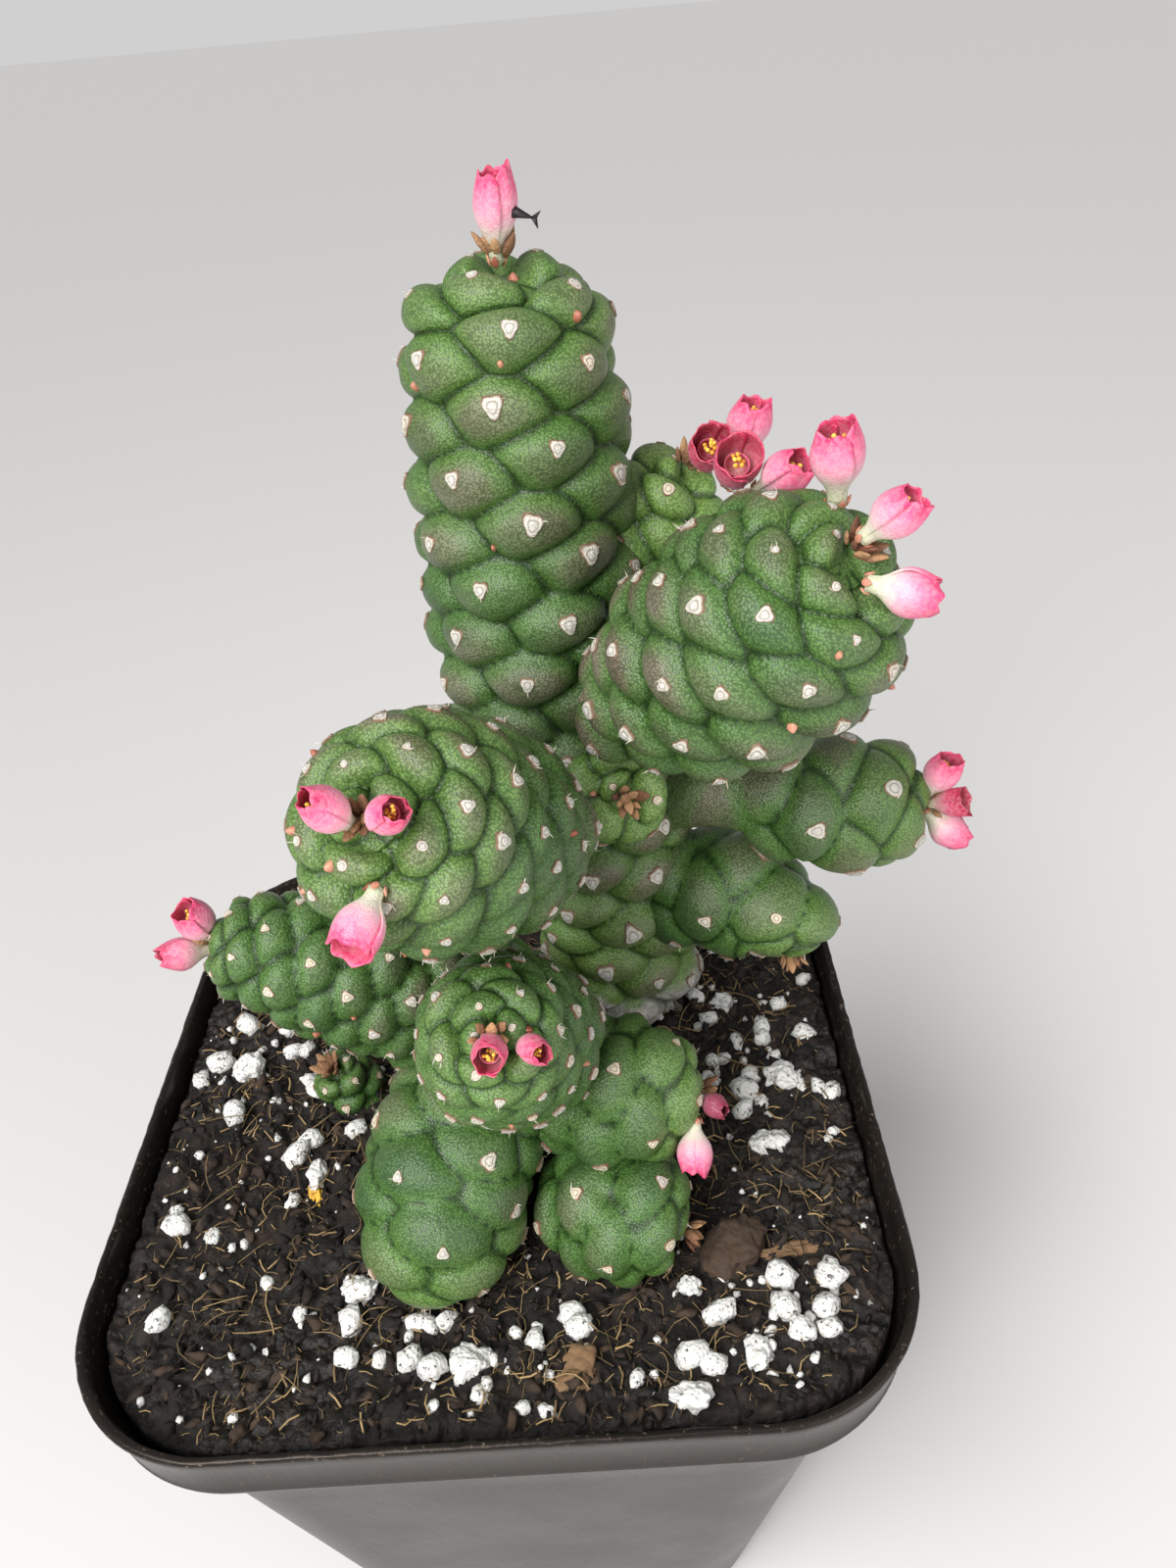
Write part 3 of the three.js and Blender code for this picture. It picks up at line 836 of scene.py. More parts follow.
# %% Stem skins
def lay_skin(name, spec, luck):
    axis = StemAxis(spec["axis"], spec["radii"])
    tubercles = Tubercles(axis, spec["cell"], spec["rows"], spec.get("swell", 1), spec.get("bare", 0), luck)
    around = int(2 * math.pi * axis.radius.max() / SKIN_STEP)
    rows = int(axis.length / SKIN_STEP * 1.15)
    bm = bmesh.new()
    bmesh.ops.create_uvsphere(bm, u_segments=around, v_segments=rows, radius=1)
    mesh = shape_from(bm, name)
    ball = points_of(mesh)
    share = 1 - np.arccos(np.clip(ball[:, 2], -1, 1)) / math.pi
    s = axis.length * (share - 0.75 * np.sin(2 * math.pi * share) / (2 * math.pi))
    angle = np.arctan2(ball[:, 1], ball[:, 0])
    points, out, ridge, nearest = displaced(axis, tubercles, s, angle)
    ripple = np.array([noise.noise(Vector(p) * 420) for p in points])
    points = points + out * (ripple * 0.10 * MM * ridge)[:, None]
    set_points(mesh, points)
    along = s / axis.length
    patch = np.array([noise.noise(Vector(p) * 55) for p in points])
    each = luck.uniform(-0.18, 0.18, len(tubercles.s))[nearest]
    facing_up = np.clip(out[:, 2] * 0.5 + 0.5, 0, 1)
    worn = spec["weather"] * (0.55 + 0.9 * facing_up) * (1.25 - along) + patch * 0.8 + each - 0.12
    # On the main stem the olive wear fades out towards the foot so the pale yellow-green shows: partly the
    # foot's own colour, partly painted light brightening the part that the upper stems shade.
    if name == "main_stem":
        worn = worn * np.clip(0.15 + 2.0 * along, 0, 1)
    tag(mesh, "weather", np.clip(worn, 0, 1) * np.clip(ridge * 1.6, 0, 1))
    fresh = spec["youth_and_painted_light"] + 0.35 * (along - 0.8) / 0.2 + patch * 0.3
    # The main stem's lower half is pushed to pale yellow-green: partly its own colour, partly painted light
    # brightening the part that the upper stems shade.
    if name == "main_stem":
        fresh = np.maximum(fresh, 0.95 * np.clip(1.7 - 3.2 * along, 0, 1))
    tag(mesh, "youth_and_painted_light", np.clip(fresh, 0, 1))
    tag(mesh, "ridge", ridge)
    cork = np.zeros(len(points))
    if name == "main_stem":
        edge = CORK_TOP + 6 * MM * np.array([noise.noise(Vector(p) * 120) for p in points])
        cork = np.clip((edge - points[:, 2]) / (2 * MM), 0, 1)
    tag(mesh, "cork", cork)
    finish_piece(name + "_skin", mesh, SKIN, [name])
    return axis, tubercles


grown = {name: lay_skin(name, spec, chance) for name, spec in STEMS.items()}
for name, (axis, tubercles) in grown.items():
    print(name, "length", round(axis.length, 3), "tubercles", len(tubercles.s))

# %% [markdown]
# ## Leaf scars, prickles and buds
# Each tubercle once carried a leaf. What is left is a raised scar at its nose: a pale shield or ring
# with a brown outline, and up to three tiny white prickles at its corners. In some of the angles above
# a tubercle there is a small reddish bud. A few templates are made and copied to where they belong.


# %% Scar, prickle and bud templates
def scar_template(corners):
    """A low boss: a disc whose rim is pulled out to rounded corners, inset twice to make its rings."""
    bm = bmesh.new()
    bmesh.ops.create_circle(bm, cap_ends=True, segments=16, radius=1)
    for thickness in (0.16, 0.26, 0.22):
        bmesh.ops.inset_region(bm, faces=[max(bm.faces, key=lambda f: len(f.verts))], thickness=thickness,
                               use_boundary=True, use_even_offset=True)
    ring = [min(vert.co.xy.length, 1.0) for vert in bm.verts]
    for vert, distance in zip(bm.verts, ring):
        bearing = math.atan2(vert.co.y, vert.co.x)
        pull = 1 + corners * math.cos(3 * (bearing + math.pi / 2)) * distance
        lift = 0.14 if distance < 0.4 else 0.04 if distance < 0.65 else 0.14 if distance < 0.9 else -0.16
        vert.co = Vector((vert.co.x * pull, vert.co.y * pull, lift))
    mesh = shape_from(bm, "scar")
    tag(mesh, "ring", ring)
    return mesh


def prickle_template():
    bm = bmesh.new()
    bmesh.ops.create_cone(bm, cap_ends=True, segments=5, radius1=0.09, radius2=0.01, depth=1)
    bmesh.ops.translate(bm, vec=(0, 0, 0.45), verts=bm.verts)
    return shape_from(bm, "prickle")


def bud_template():
    bm = bmesh.new()
    bmesh.ops.create_icosphere(bm, subdivisions=2, radius=1)
    for vert in bm.verts:
        tip = max(0.0, vert.co.z)
        vert.co = Vector((vert.co.x * (1 - 0.45 * tip), vert.co.y * (1 - 0.45 * tip), vert.co.z * 1.25))
    return shape_from(bm, "bud")


SHIELD = scar_template(0.22)
RING = scar_template(0.06)
PRICK = prickle_template()
LITTLE_BUD = bud_template()


# %% Place them on every stem
def drape(template, tubercles, numbers, sizes, turns, shades):
    """Lays copies of a flat template on the noses of the numbered tubercles."""
    sheets = [np.array(Matrix.Rotation(turn, 4, "Z") @ Matrix.Diagonal((size, size * 1.1, size, 1)))
              for size, turn in zip(sizes, turns)]
    mesh = repeat_shape(template, sheets, shades)
    flat = points_of(mesh)
    owner = np.repeat(np.array(numbers), len(template.vertices))
    skin = tubercles.nose_point(owner, flat[:, 0], flat[:, 1])
    set_points(mesh, skin + tubercles.out[owner] * (flat[:, 2] + 0.07 * MM)[:, None])
    return mesh


def dress_stem(name, luck):
    axis, tubercles = grown[name]
    spec = STEMS[name]
    count = len(tubercles.s)
    number = np.arange(count)
    grown_out = tubercles.s > spec.get("bare", 0) * axis.length
    size = np.where(number < 3, 0.18, 0.118) * tubercles.size
    if name == "main_stem":
        size *= 1 + 0.45 * np.clip(1 - tubercles.s / (0.45 * axis.length), 0, 1)
    size = np.clip(size * luck.uniform(0.72, 1.22, count), 0.5 * MM, 1.8 * MM)
    turn = luck.normal(0, 0.2, count)
    old = 0.12 + 0.75 * spec["weather"] + 0.4 * (1 - tubercles.s / axis.length) + luck.normal(0, 0.15, count)
    old = np.clip(old, 0, 1)
    ringed = number < 6
    scars = [drape(template, tubercles, number[pick], size[pick], turn[pick], old[pick])
             for template, pick in ((RING, ringed & grown_out), (SHIELD, ~ringed & grown_out)) if pick.any()]
    finish_piece(name + "_scars", join_meshes("scars", scars), SCAR)

    owner, x, y, length = [], [], [], []
    for i in range(count):
        for corner in (0.5, 2.6, 4.7):
            if luck.random() < 0.5 and grown_out[i]:
                owner.append(i)
                x.append(size[i] * 1.05 * math.cos(corner + turn[i]))
                y.append(size[i] * 1.10 * math.sin(corner + turn[i]))
                length.append(luck.uniform(0.5, 1.3) * MM)
    feet = tubercles.nose_point(np.array(owner), np.array(x), np.array(y))
    pricks = []
    for foot, i, reach in zip(feet, owner, length):
        way = tubercles.out[i] + 0.45 * luck.normal(0, 1, 3)
        pricks.append(placement(foot, way, tubercles.along[i], (reach,) * 3))
    finish_piece(name + "_prickles", repeat_shape(PRICK, pricks, luck.random(len(pricks))), PRICKLE)

    axils = np.clip(tubercles.s + 0.52 * tubercles.size, 0, axis.length)
    pockets, out, _, _ = displaced(axis, tubercles, axils, tubercles.angle + 0.10)
    chosen = [i for i in range(4, count) if luck.random() < 0.14 and grown_out[i]] or [3]
    buds = [placement(pockets[i], out[i], tubercles.along[i], (0.6 * MM * a, 0.8 * MM * a, 0.7 * MM * a))
            for i, a in zip(chosen, luck.uniform(0.7, 1.15, len(chosen)))]
    finish_piece(name + "_buds", repeat_shape(LITTLE_BUD, buds, luck.random(len(buds))), BUD)

    tip, way = axis.line[-1], axis.ahead[-1]
    flakes = []
    for i in range(10):
        bearing, reach = i * GOLDEN_ANGLE, 0.75 * MM * math.sqrt(i + 0.5)
        sideways = axis.side[-1] * math.cos(bearing) + axis.over[-1] * math.sin(bearing)
        spot = tip + sideways * reach + way * luck.uniform(0.2, 0.9) * MM
        flakes.append(placement(spot, way + 0.7 * sideways, sideways, np.array((0.55, 0.3, 0.9)) * MM
                                * luck.uniform(0.9, 1.9)))
    finish_piece(name + "_tip_scales", repeat_shape(LITTLE_BUD, flakes, luck.random(10)), DRY)
    return count


print("leaf scars:", sum(dress_stem(name, chance) for name in STEMS))

# %% [markdown]
# ## Flowers
# A flower is two fused bracts that make a cup with one side drawn up into a hood, on a short pale
# stalk. It is a curved profile spun round, then opened and ruffled at the lip, and given the thickness
# of a petal. A smaller pale cup and a cluster of yellow anthers sit inside. Each solid flower's own
# points say where its mouth is, which way it opens and how large it is.

# %% Flower looks
# deep is how red a flower is, dry how withered, open how wide its lip spreads, and wide and
# long its proportions. What a flower leaves out, it takes from the plain look.
FLOWER_LOOKS = {
    "flower_top": dict(deep=0.12, open=0.85, long=1.0, wide=1.0),
    "flower_back_red": dict(deep=0.9, open=1.1),
    "flower_back_mid": dict(deep=0.6, open=1.15),
    "flower_arm_mid": dict(deep=1.0, open=1.2),
    "flower_left_pale": dict(deep=0.0, open=0.62, wide=0.92, long=0.9),
    "flower_left_open": dict(deep=0.1, open=0.8, wide=0.88, long=0.85),
    "flower_left_bell": dict(deep=0.0, open=1.0, wide=0.95, long=0.72),
    "flower_front_left": dict(deep=0.25, open=0.95, wide=0.98, long=0.85),
    "flower_front_right": dict(deep=0.4, open=0.8, wide=0.92, long=0.85),
    "flower_foot_dry": dict(deep=0.8, dry=0.75, open=0.7),
    "flower_low_side": dict(deep=0.5, dry=0.1, open=0.7),
}
PLAIN_LOOK = dict(deep=0.12, dry=0.0, open=0.85, wide=1.14, long=0.87)
BRACT = [(1.15, 0.0), (1.12, 1.0), (1.22, 2.0), (1.60, 3.0), (2.20, 4.1), (2.75, 5.3), (3.02, 6.6),
         (3.08, 7.8), (3.00, 8.9), (2.85, 9.9), (2.72, 10.8), (2.68, 11.5)]
BRACT_SPAN = math.radians(215)
BRACT_HEIGHT = BRACT[-1][1]
BRACT_RADIUS = 3.1            # widest, in the same units as the profile
MOUTH_HEIGHT = 12.4           # from the foot of the bracts to the solid flower's mouth
INNER_CUP = [(0.5, 3.9), (1.2, 4.4), (1.6, 5.2), (1.75, 6.2), (1.60, 7.2), (1.75, 7.7)]


# %% Flower maker
def spun_profile(profile, steps, span=2 * math.pi):
    """Spins a profile round Z, all the way or through a span centred on the X axis."""
    bm = bmesh.new()
    verts = [bm.verts.new((radius, 0, height)) for radius, height in profile]
    edges = [bm.edges.new(pair) for pair in zip(verts, verts[1:])]
    whole = span > 6.28
    bmesh.ops.spin(bm, geom=verts + edges, cent=(0, 0, 0), axis=(0, 0, 1), angle=span, steps=steps,
                   use_merge=whole)
    bmesh.ops.rotate(bm, cent=(0, 0, 0), matrix=Matrix.Rotation(-span / 2, 3, "Z"), verts=bm.verts)
    bmesh.ops.remove_doubles(bm, verts=bm.verts, dist=1e-4)
    if whole:
        foot = [edge for edge in bm.edges if edge.is_boundary and edge.verts[0].co.z < profile[0][1] + 0.01]
        bmesh.ops.holes_fill(bm, edges=foot, sides=0)
    bmesh.ops.recalc_face_normals(bm, faces=bm.faces)
    side = max(bm.faces, key=lambda face: face.calc_center_median().z)
    if side.normal.dot(side.calc_center_median() * Vector((1, 1, 0))) < 0:
        bmesh.ops.reverse_faces(bm, faces=bm.faces)
    return bm


def thicken(bm, thickness):
    """Gives a cup its wall on the inside and marks the inner skin."""
    outside = set(bm.verts)
    bmesh.ops.solidify(bm, geom=list(bm.faces), thickness=thickness)
    return [0.0 if vert in outside else 1.0 for vert in bm.verts]


def read_flower(node):
    """Where a solid flower's mouth is, the way it opens, its hood side and its size."""
    points = points_of(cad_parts[node].data)
    centre = points.mean(axis=0)
    _, _, ways = np.linalg.svd(points - centre, full_matrices=False)
    way = ways[0]
    reach = (points - centre) @ way
    radial = np.linalg.norm((points - centre) - reach[:, None] * way, axis=1)
    if radial[reach > np.percentile(reach, 75)].mean() < radial[reach < np.percentile(reach, 25)].mean():
        way, reach = -way, -reach
    mouth = centre + way * reach.max()
    hood = points[np.argmax(reach)] - mouth
    size = radial.max() / (BRACT_RADIUS * MM)
    return mouth, way, hood, size


def make_bract(look, hooded, twist):
    """One of the two bracts: half a tulip, wrapped a little over the other, with a lobed lip."""
    bm = spun_profile(BRACT, 26, BRACT_SPAN)
    inner = thicken(bm, 0.15)
    heights = [vert.co.z for vert in bm.verts]
    for vert in bm.verts:
        x, y, z = vert.co
        bearing = math.atan2(y, x)
        edge = 2 * bearing / BRACT_SPAN
        lip = max(0.0, (z - 5.5) / 6.0)
        wrap = 1 + 0.075 * edge * min(1, z / 4)
        keel = 1 + 0.06 * lip * math.exp(-((bearing / 0.25) ** 2))
        flare = 1 + (look["open"] - 0.95) * 1.3 * lip**2 + 0.05 * lip**2 * math.sin(7 * bearing + twist)
        curl = 1 - (0.30 if hooded else 0.10) * lip**3 * math.cos(bearing) * (1.6 - look["open"])
        rise = (0.9 if hooded else -0.3) * lip * math.cos(bearing) - 1.0 * lip * abs(edge) ** 4
        rise += 0.35 * lip**2 * math.sin(5 * bearing + 2 * twist)
        size = wrap * keel * flare * curl
        vert.co = Vector((x * size, y * size, z + rise))
    if not hooded:
        bmesh.ops.rotate(bm, cent=(0, 0, 0), matrix=Matrix.Rotation(math.pi, 3, "Z"), verts=bm.verts)
    return shape_from(bm, "bract"), inner, heights


def make_flower(node, luck):
    look = {**PLAIN_LOOK, **FLOWER_LOOKS.get(node, {})}
    mouth, way, hood, size = read_flower(node)
    place = Matrix(placement(mouth, way, hood, (1, 1, 1), math.pi / 2).tolist())
    stretch = Matrix.Diagonal((look["wide"], look["wide"], look["long"], 1))
    foot = Matrix.Translation((0, 0, -MOUTH_HEIGHT)) @ stretch
    to_world = place @ Matrix.Scale(size * MM, 4) @ foot
    bm = spun_profile(INNER_CUP, 24)
    cup_inner = thicken(bm, 0.12)
    cup_heights = [vert.co.z for vert in bm.verts]
    parts = [make_bract(look, hooded, luck.uniform(0, 6.28)) for hooded in (True, False)]
    parts.append((shape_from(bm, "cup"), cup_inner, cup_heights))
    for mesh, inner, heights in parts:
        mesh.transform(to_world)
        tag(mesh, "inner", inner)
        tag(mesh, "along", np.clip(np.array(heights) / BRACT_HEIGHT, 0, 1))
        tag(mesh, "deep", look["deep"])
        tag(mesh, "dry", look["dry"])
    finish_piece(node + "_bracts", join_meshes("bracts", [part[0] for part in parts]), PETAL, [node])
    grains, scales = [], []
    for i in range(11):
        bearing, out = i * GOLDEN_ANGLE, 0.30 * math.sqrt(i)
        spot = Vector((out * math.cos(bearing), out * math.sin(bearing), 8.4 + luck.uniform(-0.5, 1.6)))
        grain = luck.uniform(0.26, 0.38)
        grains.append(np.array(to_world @ Matrix.Translation(spot) @ Matrix.Scale(grain, 4)))
    for i in range(4):
        bearing = i * 1.6 + luck.uniform(-0.3, 0.3)
        spot = Matrix.Rotation(bearing, 4, "Z") @ Matrix.Translation((1.2, 0, 0.1))
        leaning = Matrix.Rotation(0.35, 4, "Y") @ Matrix.Diagonal((0.22, 0.55, 0.8, 1))
        scales.append(np.array(to_world @ spot @ leaning))
    anther_mesh = repeat_shape(LITTLE_BUD, grains, luck.random(len(grains)))
    finish_piece(node + "_anthers", anther_mesh, ANTHER)
    scale_mesh = repeat_shape(LITTLE_BUD, scales, luck.random(len(scales)))
    finish_piece(node + "_scales", scale_mesh, BUD)
    return size


flower_nodes = [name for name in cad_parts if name.startswith("flower_")]
flower_sizes = [make_flower(node, chance) for node in flower_nodes]
low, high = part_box("flower_top")
style_foot = Vector((high.x - 0.6 * MM, (low.y + high.y) / 2 - 1 * MM, high.z - 5.6 * MM))
style_end = style_foot + Vector((2.6, -0.3, -0.9)) * MM
style_parts = [placement(start, way, (0, 0, 1), np.array((3.4, 3.4, 1)) * MM * reach)
               for start, way, reach in ((style_foot, (1, -0.1, -0.35), 2.8), (style_end, (0.8, 0, 0.7), 1.3),
                                         (style_end, (0.3, 0, -1), 1.4))]
finish_piece("flower_top_dry_style", repeat_shape(PRICK, style_parts, [0, 0, 0]), STYLE)
print(len(flower_sizes), "flowers, cups", round(min(flower_sizes) * 2 * BRACT_RADIUS, 1), "to",
      round(max(flower_sizes) * 2 * BRACT_RADIUS, 1), "mm wide")

# %% [markdown]
# ## The pot
# The real pot is one thin moulding. Its outline is a rounded square that is extruded upwards ring by
# ring: the body, the step out to the collar, over the rim and down again inside. The rim is a little
# ragged where it was trimmed. Four holes are cut through the base.

# %% Pot outline
POT_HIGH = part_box("pot")[1]
RIM_HALF = POT_HIGH.x
CORNER_SHARE = 0.385
BAND_FOOT = POT_HIGH.z - 13 * MM
BASE_HALF = 42 * MM
BODY_TOP_HALF = RIM_HALF - 5 * MM
BAND_FOOT_HALF = RIM_HALF - 1.5 * MM
WALL = 1.4 * MM
RIM_POINTS = 288


def rounded_square(half, bearing):
    """Point of a rounded square outline at a bearing from its centre."""
    flat = 1 - CORNER_SHARE
    c, s = abs(math.cos(bearing)), abs(math.sin(bearing))
    if s <= c * flat:
        reach = 1 / c
    elif c <= s * flat:
        reach = 1 / s
    else:
        along = (c + s) * flat
        reach = along + math.sqrt(max(along * along - (2 * flat * flat - CORNER_SHARE**2), 0))
    return Vector((half * reach * math.cos(bearing), half * reach * math.sin(bearing), 0))


def body_half(z):
    return BASE_HALF + (BODY_TOP_HALF - BASE_HALF) * z / BAND_FOOT


def inner(z):
    return body_half(z) - WALL


# %% Pot piece
def make_pot():
    rings = [
        (BASE_HALF - 3 * MM, 0.9 * MM), (BASE_HALF - 2.4 * MM, 0.1 * MM), (BASE_HALF - 1.2 * MM, 0.0),
        (BASE_HALF - 0.2 * MM, 0.5 * MM), (body_half(1.6 * MM), 1.6 * MM),
        (body_half(30 * MM), 30 * MM), (body_half(60 * MM), 60 * MM), (body_half(90 * MM), 90 * MM),
        (body_half(BAND_FOOT - 1.2 * MM), BAND_FOOT - 1.2 * MM),
        (BODY_TOP_HALF + 0.5 * MM, BAND_FOOT - 0.2 * MM), (BAND_FOOT_HALF - 0.8 * MM, BAND_FOOT),
        (BAND_FOOT_HALF, BAND_FOOT + 0.5 * MM), (BAND_FOOT_HALF + 0.3 * MM, BAND_FOOT + 1.6 * MM),
        (BAND_FOOT_HALF + 0.15 * MM, BAND_FOOT + 2.2 * MM),
        (RIM_HALF - 0.5 * MM, RIM_HEIGHT - 3.0 * MM), (RIM_HALF - 0.05 * MM, RIM_HEIGHT - 1.0 * MM),
        (RIM_HALF - 0.1 * MM, RIM_HEIGHT - 0.25 * MM), (RIM_HALF - 0.5 * MM, RIM_HEIGHT),
        (RIM_HALF - 1.0 * MM, RIM_HEIGHT - 0.05 * MM), (RIM_HALF - 1.3 * MM, RIM_HEIGHT - 0.5 * MM),
        (RIM_HALF - 1.6 * MM, RIM_HEIGHT - 3.0 * MM), (BAND_FOOT_HALF - WALL, BAND_FOOT + 2.0 * MM),
        (BAND_FOOT_HALF - WALL - 0.8 * MM, BAND_FOOT + WALL), (inner(BAND_FOOT) + 0.4 * MM, BAND_FOOT + WALL),
        (inner(BAND_FOOT), BAND_FOOT - 0.5 * MM), (inner(60 * MM), 60 * MM), (inner(3 * MM), 3 * MM),
        (inner(0) - 1.5 * MM, WALL + 0.6 * MM), (inner(0) - 4 * MM, WALL + 0.6 * MM),
    ]
    bearings = [2 * math.pi * i / RIM_POINTS for i in range(RIM_POINTS)]
    bm = bmesh.new()
    bmesh.ops.create_circle(bm, segments=RIM_POINTS, radius=1)
    ring = sorted(bm.verts, key=lambda v: math.atan2(v.co.y, v.co.x) % (2 * math.pi))
    first_ring = ring

    def shape_ring(verts, half, z):
        for vert, bearing in zip(verts, bearings):
            spot = rounded_square(half, bearing)
            closeness = max(0.0, 1 - abs(z - RIM_HEIGHT) / (1.2 * MM))
            rough = noise.noise(spot * 900) + 0.6 * noise.noise(spot * 240)
            flaw = closeness * 0.22 * MM * rough
            outward = Vector((math.cos(bearing), math.sin(bearing), 0))
            vert.co = spot + outward * flaw + Vector((0, 0, z - abs(flaw)))

    shape_ring(ring, *rings[0])
    for half, z in rings[1:]:
        edges = [bm.edges.get((a, b)) for a, b in zip(ring, ring[1:] + ring[:1])]
        grown_ring = bmesh.ops.extrude_edge_only(bm, edges=edges)["geom"]
        new = [item for item in grown_ring if isinstance(item, bmesh.types.BMVert)]
        linked = {edge.other_vert(vert): vert for vert in new for edge in vert.link_edges
                  if edge.other_vert(vert) in set(ring)}
        ring = [linked[vert] for vert in ring]
        shape_ring(ring, half, z)
    for loop in (first_ring, ring):
        bmesh.ops.contextual_create(bm, geom=loop)
    bmesh.ops.recalc_face_normals(bm, faces=bm.faces)
    return shape_from(bm, "pot")


def cut_drain_holes(mesh):
    bm = bmesh.new()
    for x in (-24, 24):
        for y in (-24, 24):
            place = Matrix.Translation((x * MM, y * MM, 0))
            bmesh.ops.create_cone(bm, cap_ends=True, segments=32, radius1=4 * MM, radius2=4 * MM,
                                  depth=8 * MM, matrix=place)
    drill = bpy.data.objects.new("drill", shape_from(bm, "drill"))
    blank = bpy.data.objects.new("blank", mesh)
    for item in (drill, blank):
        bpy.context.collection.objects.link(item)
    cut = blank.modifiers.new("holes", "BOOLEAN")
    cut.object = drill
    cut.operation = "DIFFERENCE"
    cut.solver = "EXACT"
    result = bpy.data.meshes.new_from_object(blank.evaluated_get(bpy.context.evaluated_depsgraph_get()))
    for item in (drill, blank):
        bpy.data.objects.remove(item)
    return result


pot_mesh = cut_drain_holes(make_pot())
finish_piece("nursery_pot", pot_mesh, PLASTIC, ["pot"])
print("pot faces:", len(pot_mesh.polygons))

# %% [markdown]
# ## The soil
# The mix is one piece: a fine grid pressed into the rounded square of the pot and roughened in clods,
# with sides and a base below it. Loose crumbs, root fibres and perlite lie on top as real geometry,
# because their edges and shadows are what make soil look like soil.

# %% Soil surface
SOIL_TOP = 112 * MM
SOIL_HALF = BAND_FOOT_HALF - WALL - 0.3 * MM
SOIL_CELLS = 200              # faces across the soil


def soil_height(x, y):
    spot = Vector((x, y, 0))
    share = spot.length / rounded_square(SOIL_HALF, math.atan2(y, x)).length
    bank = 3.0 * MM * min(1.0, max(0.0, (share - 0.62) / 0.30)) ** 1.5 + 0.8 * MM
    swell = 1.0 * MM * noise.noise(spot * 28)
    clod = 2.4 * MM * abs(noise.noise(spot * 110 + Vector((3, 1, 2)))) - 0.6 * MM
    crumb = 1.1 * MM * noise.noise(spot * 260) + 0.9 * MM * noise.noise(spot * 560)
    grit = 0.6 * MM * noise.noise(spot * 1050)
    return SOIL_TOP + bank + swell + clod + crumb + grit


def make_soil():
    bm = bmesh.new()
    bmesh.ops.create_grid(bm, x_segments=SOIL_CELLS, y_segments=SOIL_CELLS, size=1)
    for vert in bm.verts:
        x, y = vert.co.x, vert.co.y
        edge = max(abs(x), abs(y))
        if edge > 1e-9:
            rim = rounded_square(1, math.atan2(y, x))
            square = Vector((x, y)) / edge
            fit = rim.length / square.length
            vert.co.x, vert.co.y = x * fit * SOIL_HALF, y * fit * SOIL_HALF
        vert.co.z = soil_height(vert.co.x, vert.co.y)
    rim_edges = [edge for edge in bm.edges if edge.is_boundary]
    for half, z in ((SOIL_HALF, BAND_FOOT + 2.4 * MM), (inner(BAND_FOOT) - 0.3 * MM, BAND_FOOT - 1 * MM),
                    (inner(4 * MM) - 0.4 * MM, 4 * MM), (inner(0) - 3 * MM, 2.4 * MM)):
        grown_edges = bmesh.ops.extrude_edge_only(bm, edges=rim_edges)["geom"]
        for item in grown_edges:
            if isinstance(item, bmesh.types.BMVert):
                spot = rounded_square(half, math.atan2(item.co.y, item.co.x))
                item.co = Vector((spot.x, spot.y, z))
        rim_edges = [item for item in grown_edges if isinstance(item, bmesh.types.BMEdge)]
    bmesh.ops.holes_fill(bm, edges=rim_edges, sides=0)
    bmesh.ops.recalc_face_normals(bm, faces=bm.faces)
    return shape_from(bm, "soil")


soil_mesh = make_soil()
finish_piece("soil_mix", soil_mesh, PEAT, ["soil"])
print("soil faces:", len(soil_mesh.polygons))


# %% Lump, crumb and fibre templates
def lump_template(name, seed, roughness, fineness, squash=(1, 1, 1)):
    bm = bmesh.new()
    bmesh.ops.create_icosphere(bm, subdivisions=fineness, radius=1)
    shift = Vector((seed * 3.1, seed * 1.7, seed * 0.9))
    for vert in bm.verts:
        dent = noise.noise(vert.co * 1.4 + shift) + 0.5 * noise.noise(vert.co * 3.4 + shift)
        push = 1 + roughness * dent
        vert.co = Vector([a * push * b for a, b in zip(vert.co, squash)])
    return shape_from(bm, name)


def fibre_template(name, luck, radius=0.016, sides=3, steps=5):
    """A thin root: a small circle extruded along a wandering line, one length long."""
    bm = bmesh.new()
    bmesh.ops.create_circle(bm, cap_ends=True, segments=sides, radius=radius)
    bmesh.ops.rotate(bm, cent=(0, 0, 0), matrix=Matrix.Rotation(math.pi / 2, 3, "Y"), verts=bm.verts)
    bend = luck.normal(0, 0.13, 3)
    wave = luck.uniform(0.5, 1.5, 2)
    cap = list(bm.faces)
    spot = Vector((0, 0, 0))
    for step in range(1, steps + 1):
        share = step / steps
        nxt = Vector((share, 1.2 * bend[0] * math.sin(wave[0] * 4 * share) + bend[1] * share * share * 3,
                      0.5 * abs(bend[2]) * math.sin(wave[1] * 3 * share)))
        grown_faces = bmesh.ops.extrude_face_region(bm, geom=cap)["geom"]
        bmesh.ops.delete(bm, geom=cap, context="FACES")
        cap = [item for item in grown_faces if isinstance(item, bmesh.types.BMFace)]
        verts = [item for item in grown_faces if isinstance(item, bmesh.types.BMVert)]
        bmesh.ops.translate(bm, vec=nxt - spot, verts=verts)
        spot = nxt
    bmesh.ops.recalc_face_normals(bm, faces=bm.faces)
    return shape_from(bm, name)


CRUMBS = [lump_template("crumb", k, 1.3, 1, (1, 0.7, 0.5)) for k in range(4)]
WHITES = [lump_template("white", k + 9, 0.42, 2, (1, 0.80, 0.72)) for k in range(6)]
SPECKS = [lump_template("speck", k + 20, 0.7, 1) for k in range(3)]
ROOTS = [fibre_template("root", chance) for k in range(8)]
STRAWS = [fibre_template("straw", chance, 0.055, 4, 2) for k in range(5)]


# %% Scatter them over the soil
def on_soil(x, y, margin):
    return Vector((x, y)).length < rounded_square(SOIL_HALF - margin, math.atan2(y, x)).length


def random_place(margin, luck):
    while True:
        x, y = luck.uniform(-1, 1, 2) * SOIL_HALF
        if on_soil(x, y, margin):
            return x, y


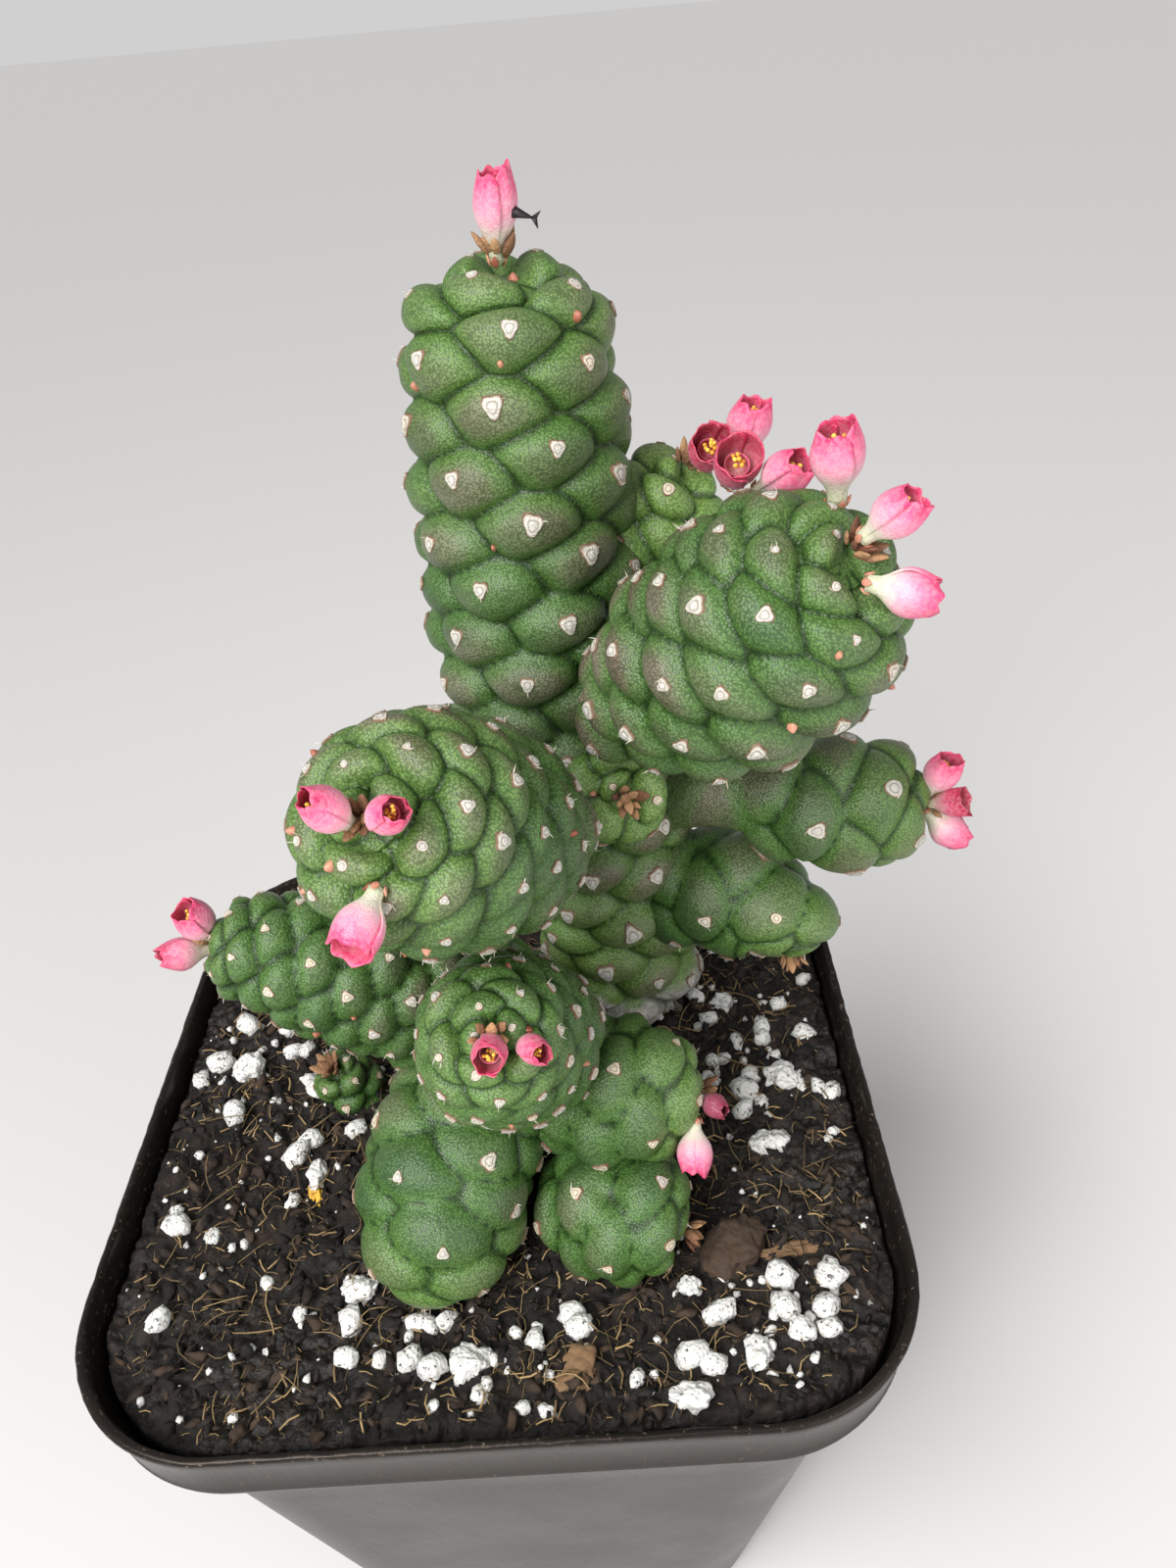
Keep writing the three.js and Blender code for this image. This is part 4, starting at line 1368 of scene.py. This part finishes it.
def turned(x, y, z, size, tilt, luck):
    turn = Matrix.Rotation(luck.uniform(0, 6.28), 4, "Z") @ Matrix.Rotation(luck.normal(0, tilt), 4, "X")
    return np.array(Matrix.Translation((x, y, z)) @ turn @ Matrix.Diagonal((*size, 1)))


def scatter(templates, count, low, high, sink, tilt, luck, spots=None, dark=1.6):
    """Copies of the templates over the soil. low and high are the sizes in millimetres, mostly low."""
    batches = [([], []) for _ in templates]
    for i in range(count):
        size = (low + (high - low) * luck.random() ** 1.8) * MM
        x, y = spots[i] if spots is not None else random_place(0.6 * size + 0.6 * MM, luck)
        places, shades = batches[luck.integers(len(templates))]
        z = soil_height(x, y) + sink * size
        places.append(turned(x, y, z, (size,) * 3, tilt, luck))
        shades.append(luck.random() ** dark)
    copies = [repeat_shape(shape, *batch) for shape, batch in zip(templates, batches) if batch[0]]
    return join_meshes("scatter", copies)


def perlite_spots(luck):
    """Perlite gathers in drifts: left side, front middle, right side and front right corner."""
    drifts = [((-0.048, 0.008), 0.013, 44), ((0.0, -0.050), 0.010, 40), ((0.050, 0.004), 0.009, 44),
              ((0.040, -0.046), 0.010, 42), ((-0.035, -0.030), 0.014, 26), ((0.046, 0.034), 0.012, 22),
              ((-0.030, 0.044), 0.016, 20), ((0.0, 0.0), 0.05, 40)]
    spots = []
    for (cx, cy), spread_out, count in drifts:
        for _ in range(count):
            x, y = cx + luck.normal(0, spread_out), cy + luck.normal(0, spread_out)
            if on_soil(x, y, 2.5 * MM):
                spots.append((x, y))
    return spots


CRUMB_COUNT, ROOT_COUNT, STRAW_COUNT, SPECK_COUNT = 3400, 900, 2200, 320
crumb_mesh = scatter(CRUMBS, CRUMB_COUNT, 0.25, 1.7, 0.1, 1.2, chance, dark=2.4)
finish_piece("peat_crumbs", crumb_mesh, CRUMB)
root_mesh = scatter(ROOTS, ROOT_COUNT, 3.0, 9.0, 0.06, 0.14, chance, dark=1.2)
finish_piece("root_fibres", root_mesh, FIBRE)
straw_mesh = scatter(STRAWS, STRAW_COUNT, 0.8, 3.2, 0.22, 0.5, chance, dark=0.8)
finish_piece("straw_bits", straw_mesh, FIBRE)
white_spots = perlite_spots(chance)
white_mesh = scatter(WHITES, len(white_spots), 0.6, 2.9, 0.25, 0.6, chance, white_spots)
finish_piece("small_perlite", white_mesh, WHITE)
dust_mesh = scatter(SPECKS, SPECK_COUNT, 0.2, 0.8, 0.4, 0.8, chance)
finish_piece("perlite_specks", dust_mesh, WHITE)
print("crumbs", CRUMB_COUNT, "roots", ROOT_COUNT, "straw bits", STRAW_COUNT, "perlite lumps",
      len(white_spots), "specks", SPECK_COUNT)


# %% Large perlite and the bark chip
def stand_in_lump(node, material, seed, roughness):
    """A pitted lump the size of its plain solid, resting on the roughened soil."""
    low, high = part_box(node)
    half, middle_point = (high - low) / 2, (low + high) / 2
    middle_point.z = max(middle_point.z, soil_height(middle_point.x, middle_point.y) + 0.25 * half.z)
    mesh = lump_template(node, seed, roughness, 4)
    points = points_of(mesh)
    points *= 1 / np.abs(points).max(axis=0)
    set_points(mesh, points * np.array(half) + np.array(middle_point))
    tag(mesh, "shade", 0.5)
    finish_piece(node + "_lump", mesh, material, [node])


for number in range(1, 11):
    stand_in_lump(f"perlite_{number}", WHITE, number * 2.3, 0.42)
stand_in_lump("bark_chip", BARK, 5.0, 0.5)


# %% A clod, a wood splinter and a dead leaf
def loose_piece(name, material, seed, roughness, x, y, size, turn, shade):
    mesh = lump_template(name, seed, roughness, 4)
    place = Matrix.Translation((x * MM, y * MM, soil_height(x * MM, y * MM) + 0.3 * size[2] * MM))
    mesh.transform(place @ Matrix.Rotation(turn, 4, "Z") @ Matrix.Diagonal((*(MM * a for a in size), 1)))
    tag(mesh, "shade", shade)
    finish_piece(name, mesh, material)


loose_piece("brown_clod", CRUMB, 3.7, 0.45, 38, -33, (5.5, 4.2, 2.8), 0.8, 0.9)
loose_piece("wood_splinter", BARK, 6.1, 0.7, 49, -34, (9.0, 1.3, 0.9), 0.1, 0.35)
loose_piece("dead_leaf", ANTHER, 8.4, 0.9, -34, -16, (1.1, 3.0, 0.6), 0.3, 0.3)

# %% [markdown]
# ## The floor
# A plain pale floor reaches far beyond the pot on every side, so that nothing but the plant draws the eye.

# %% Floor
FLOOR_HALF = 12.0             # metres
FLOOR_GAP = 0.5 * MM          # keeps the floor clear of the pot's underside


def make_floor():
    material, _, _ = new_material("pale_floor", 0.6, (0.68, 0.665, 0.65, 1))
    bm = bmesh.new()
    bmesh.ops.create_grid(bm, x_segments=1, y_segments=1, size=FLOOR_HALF)
    floor = bpy.data.objects.new("floor", shape_from(bm, "floor"))
    floor.data.materials.append(material)
    floor.location.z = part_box("pot")[0].z - FLOOR_GAP
    bpy.context.collection.objects.link(floor)


make_floor()
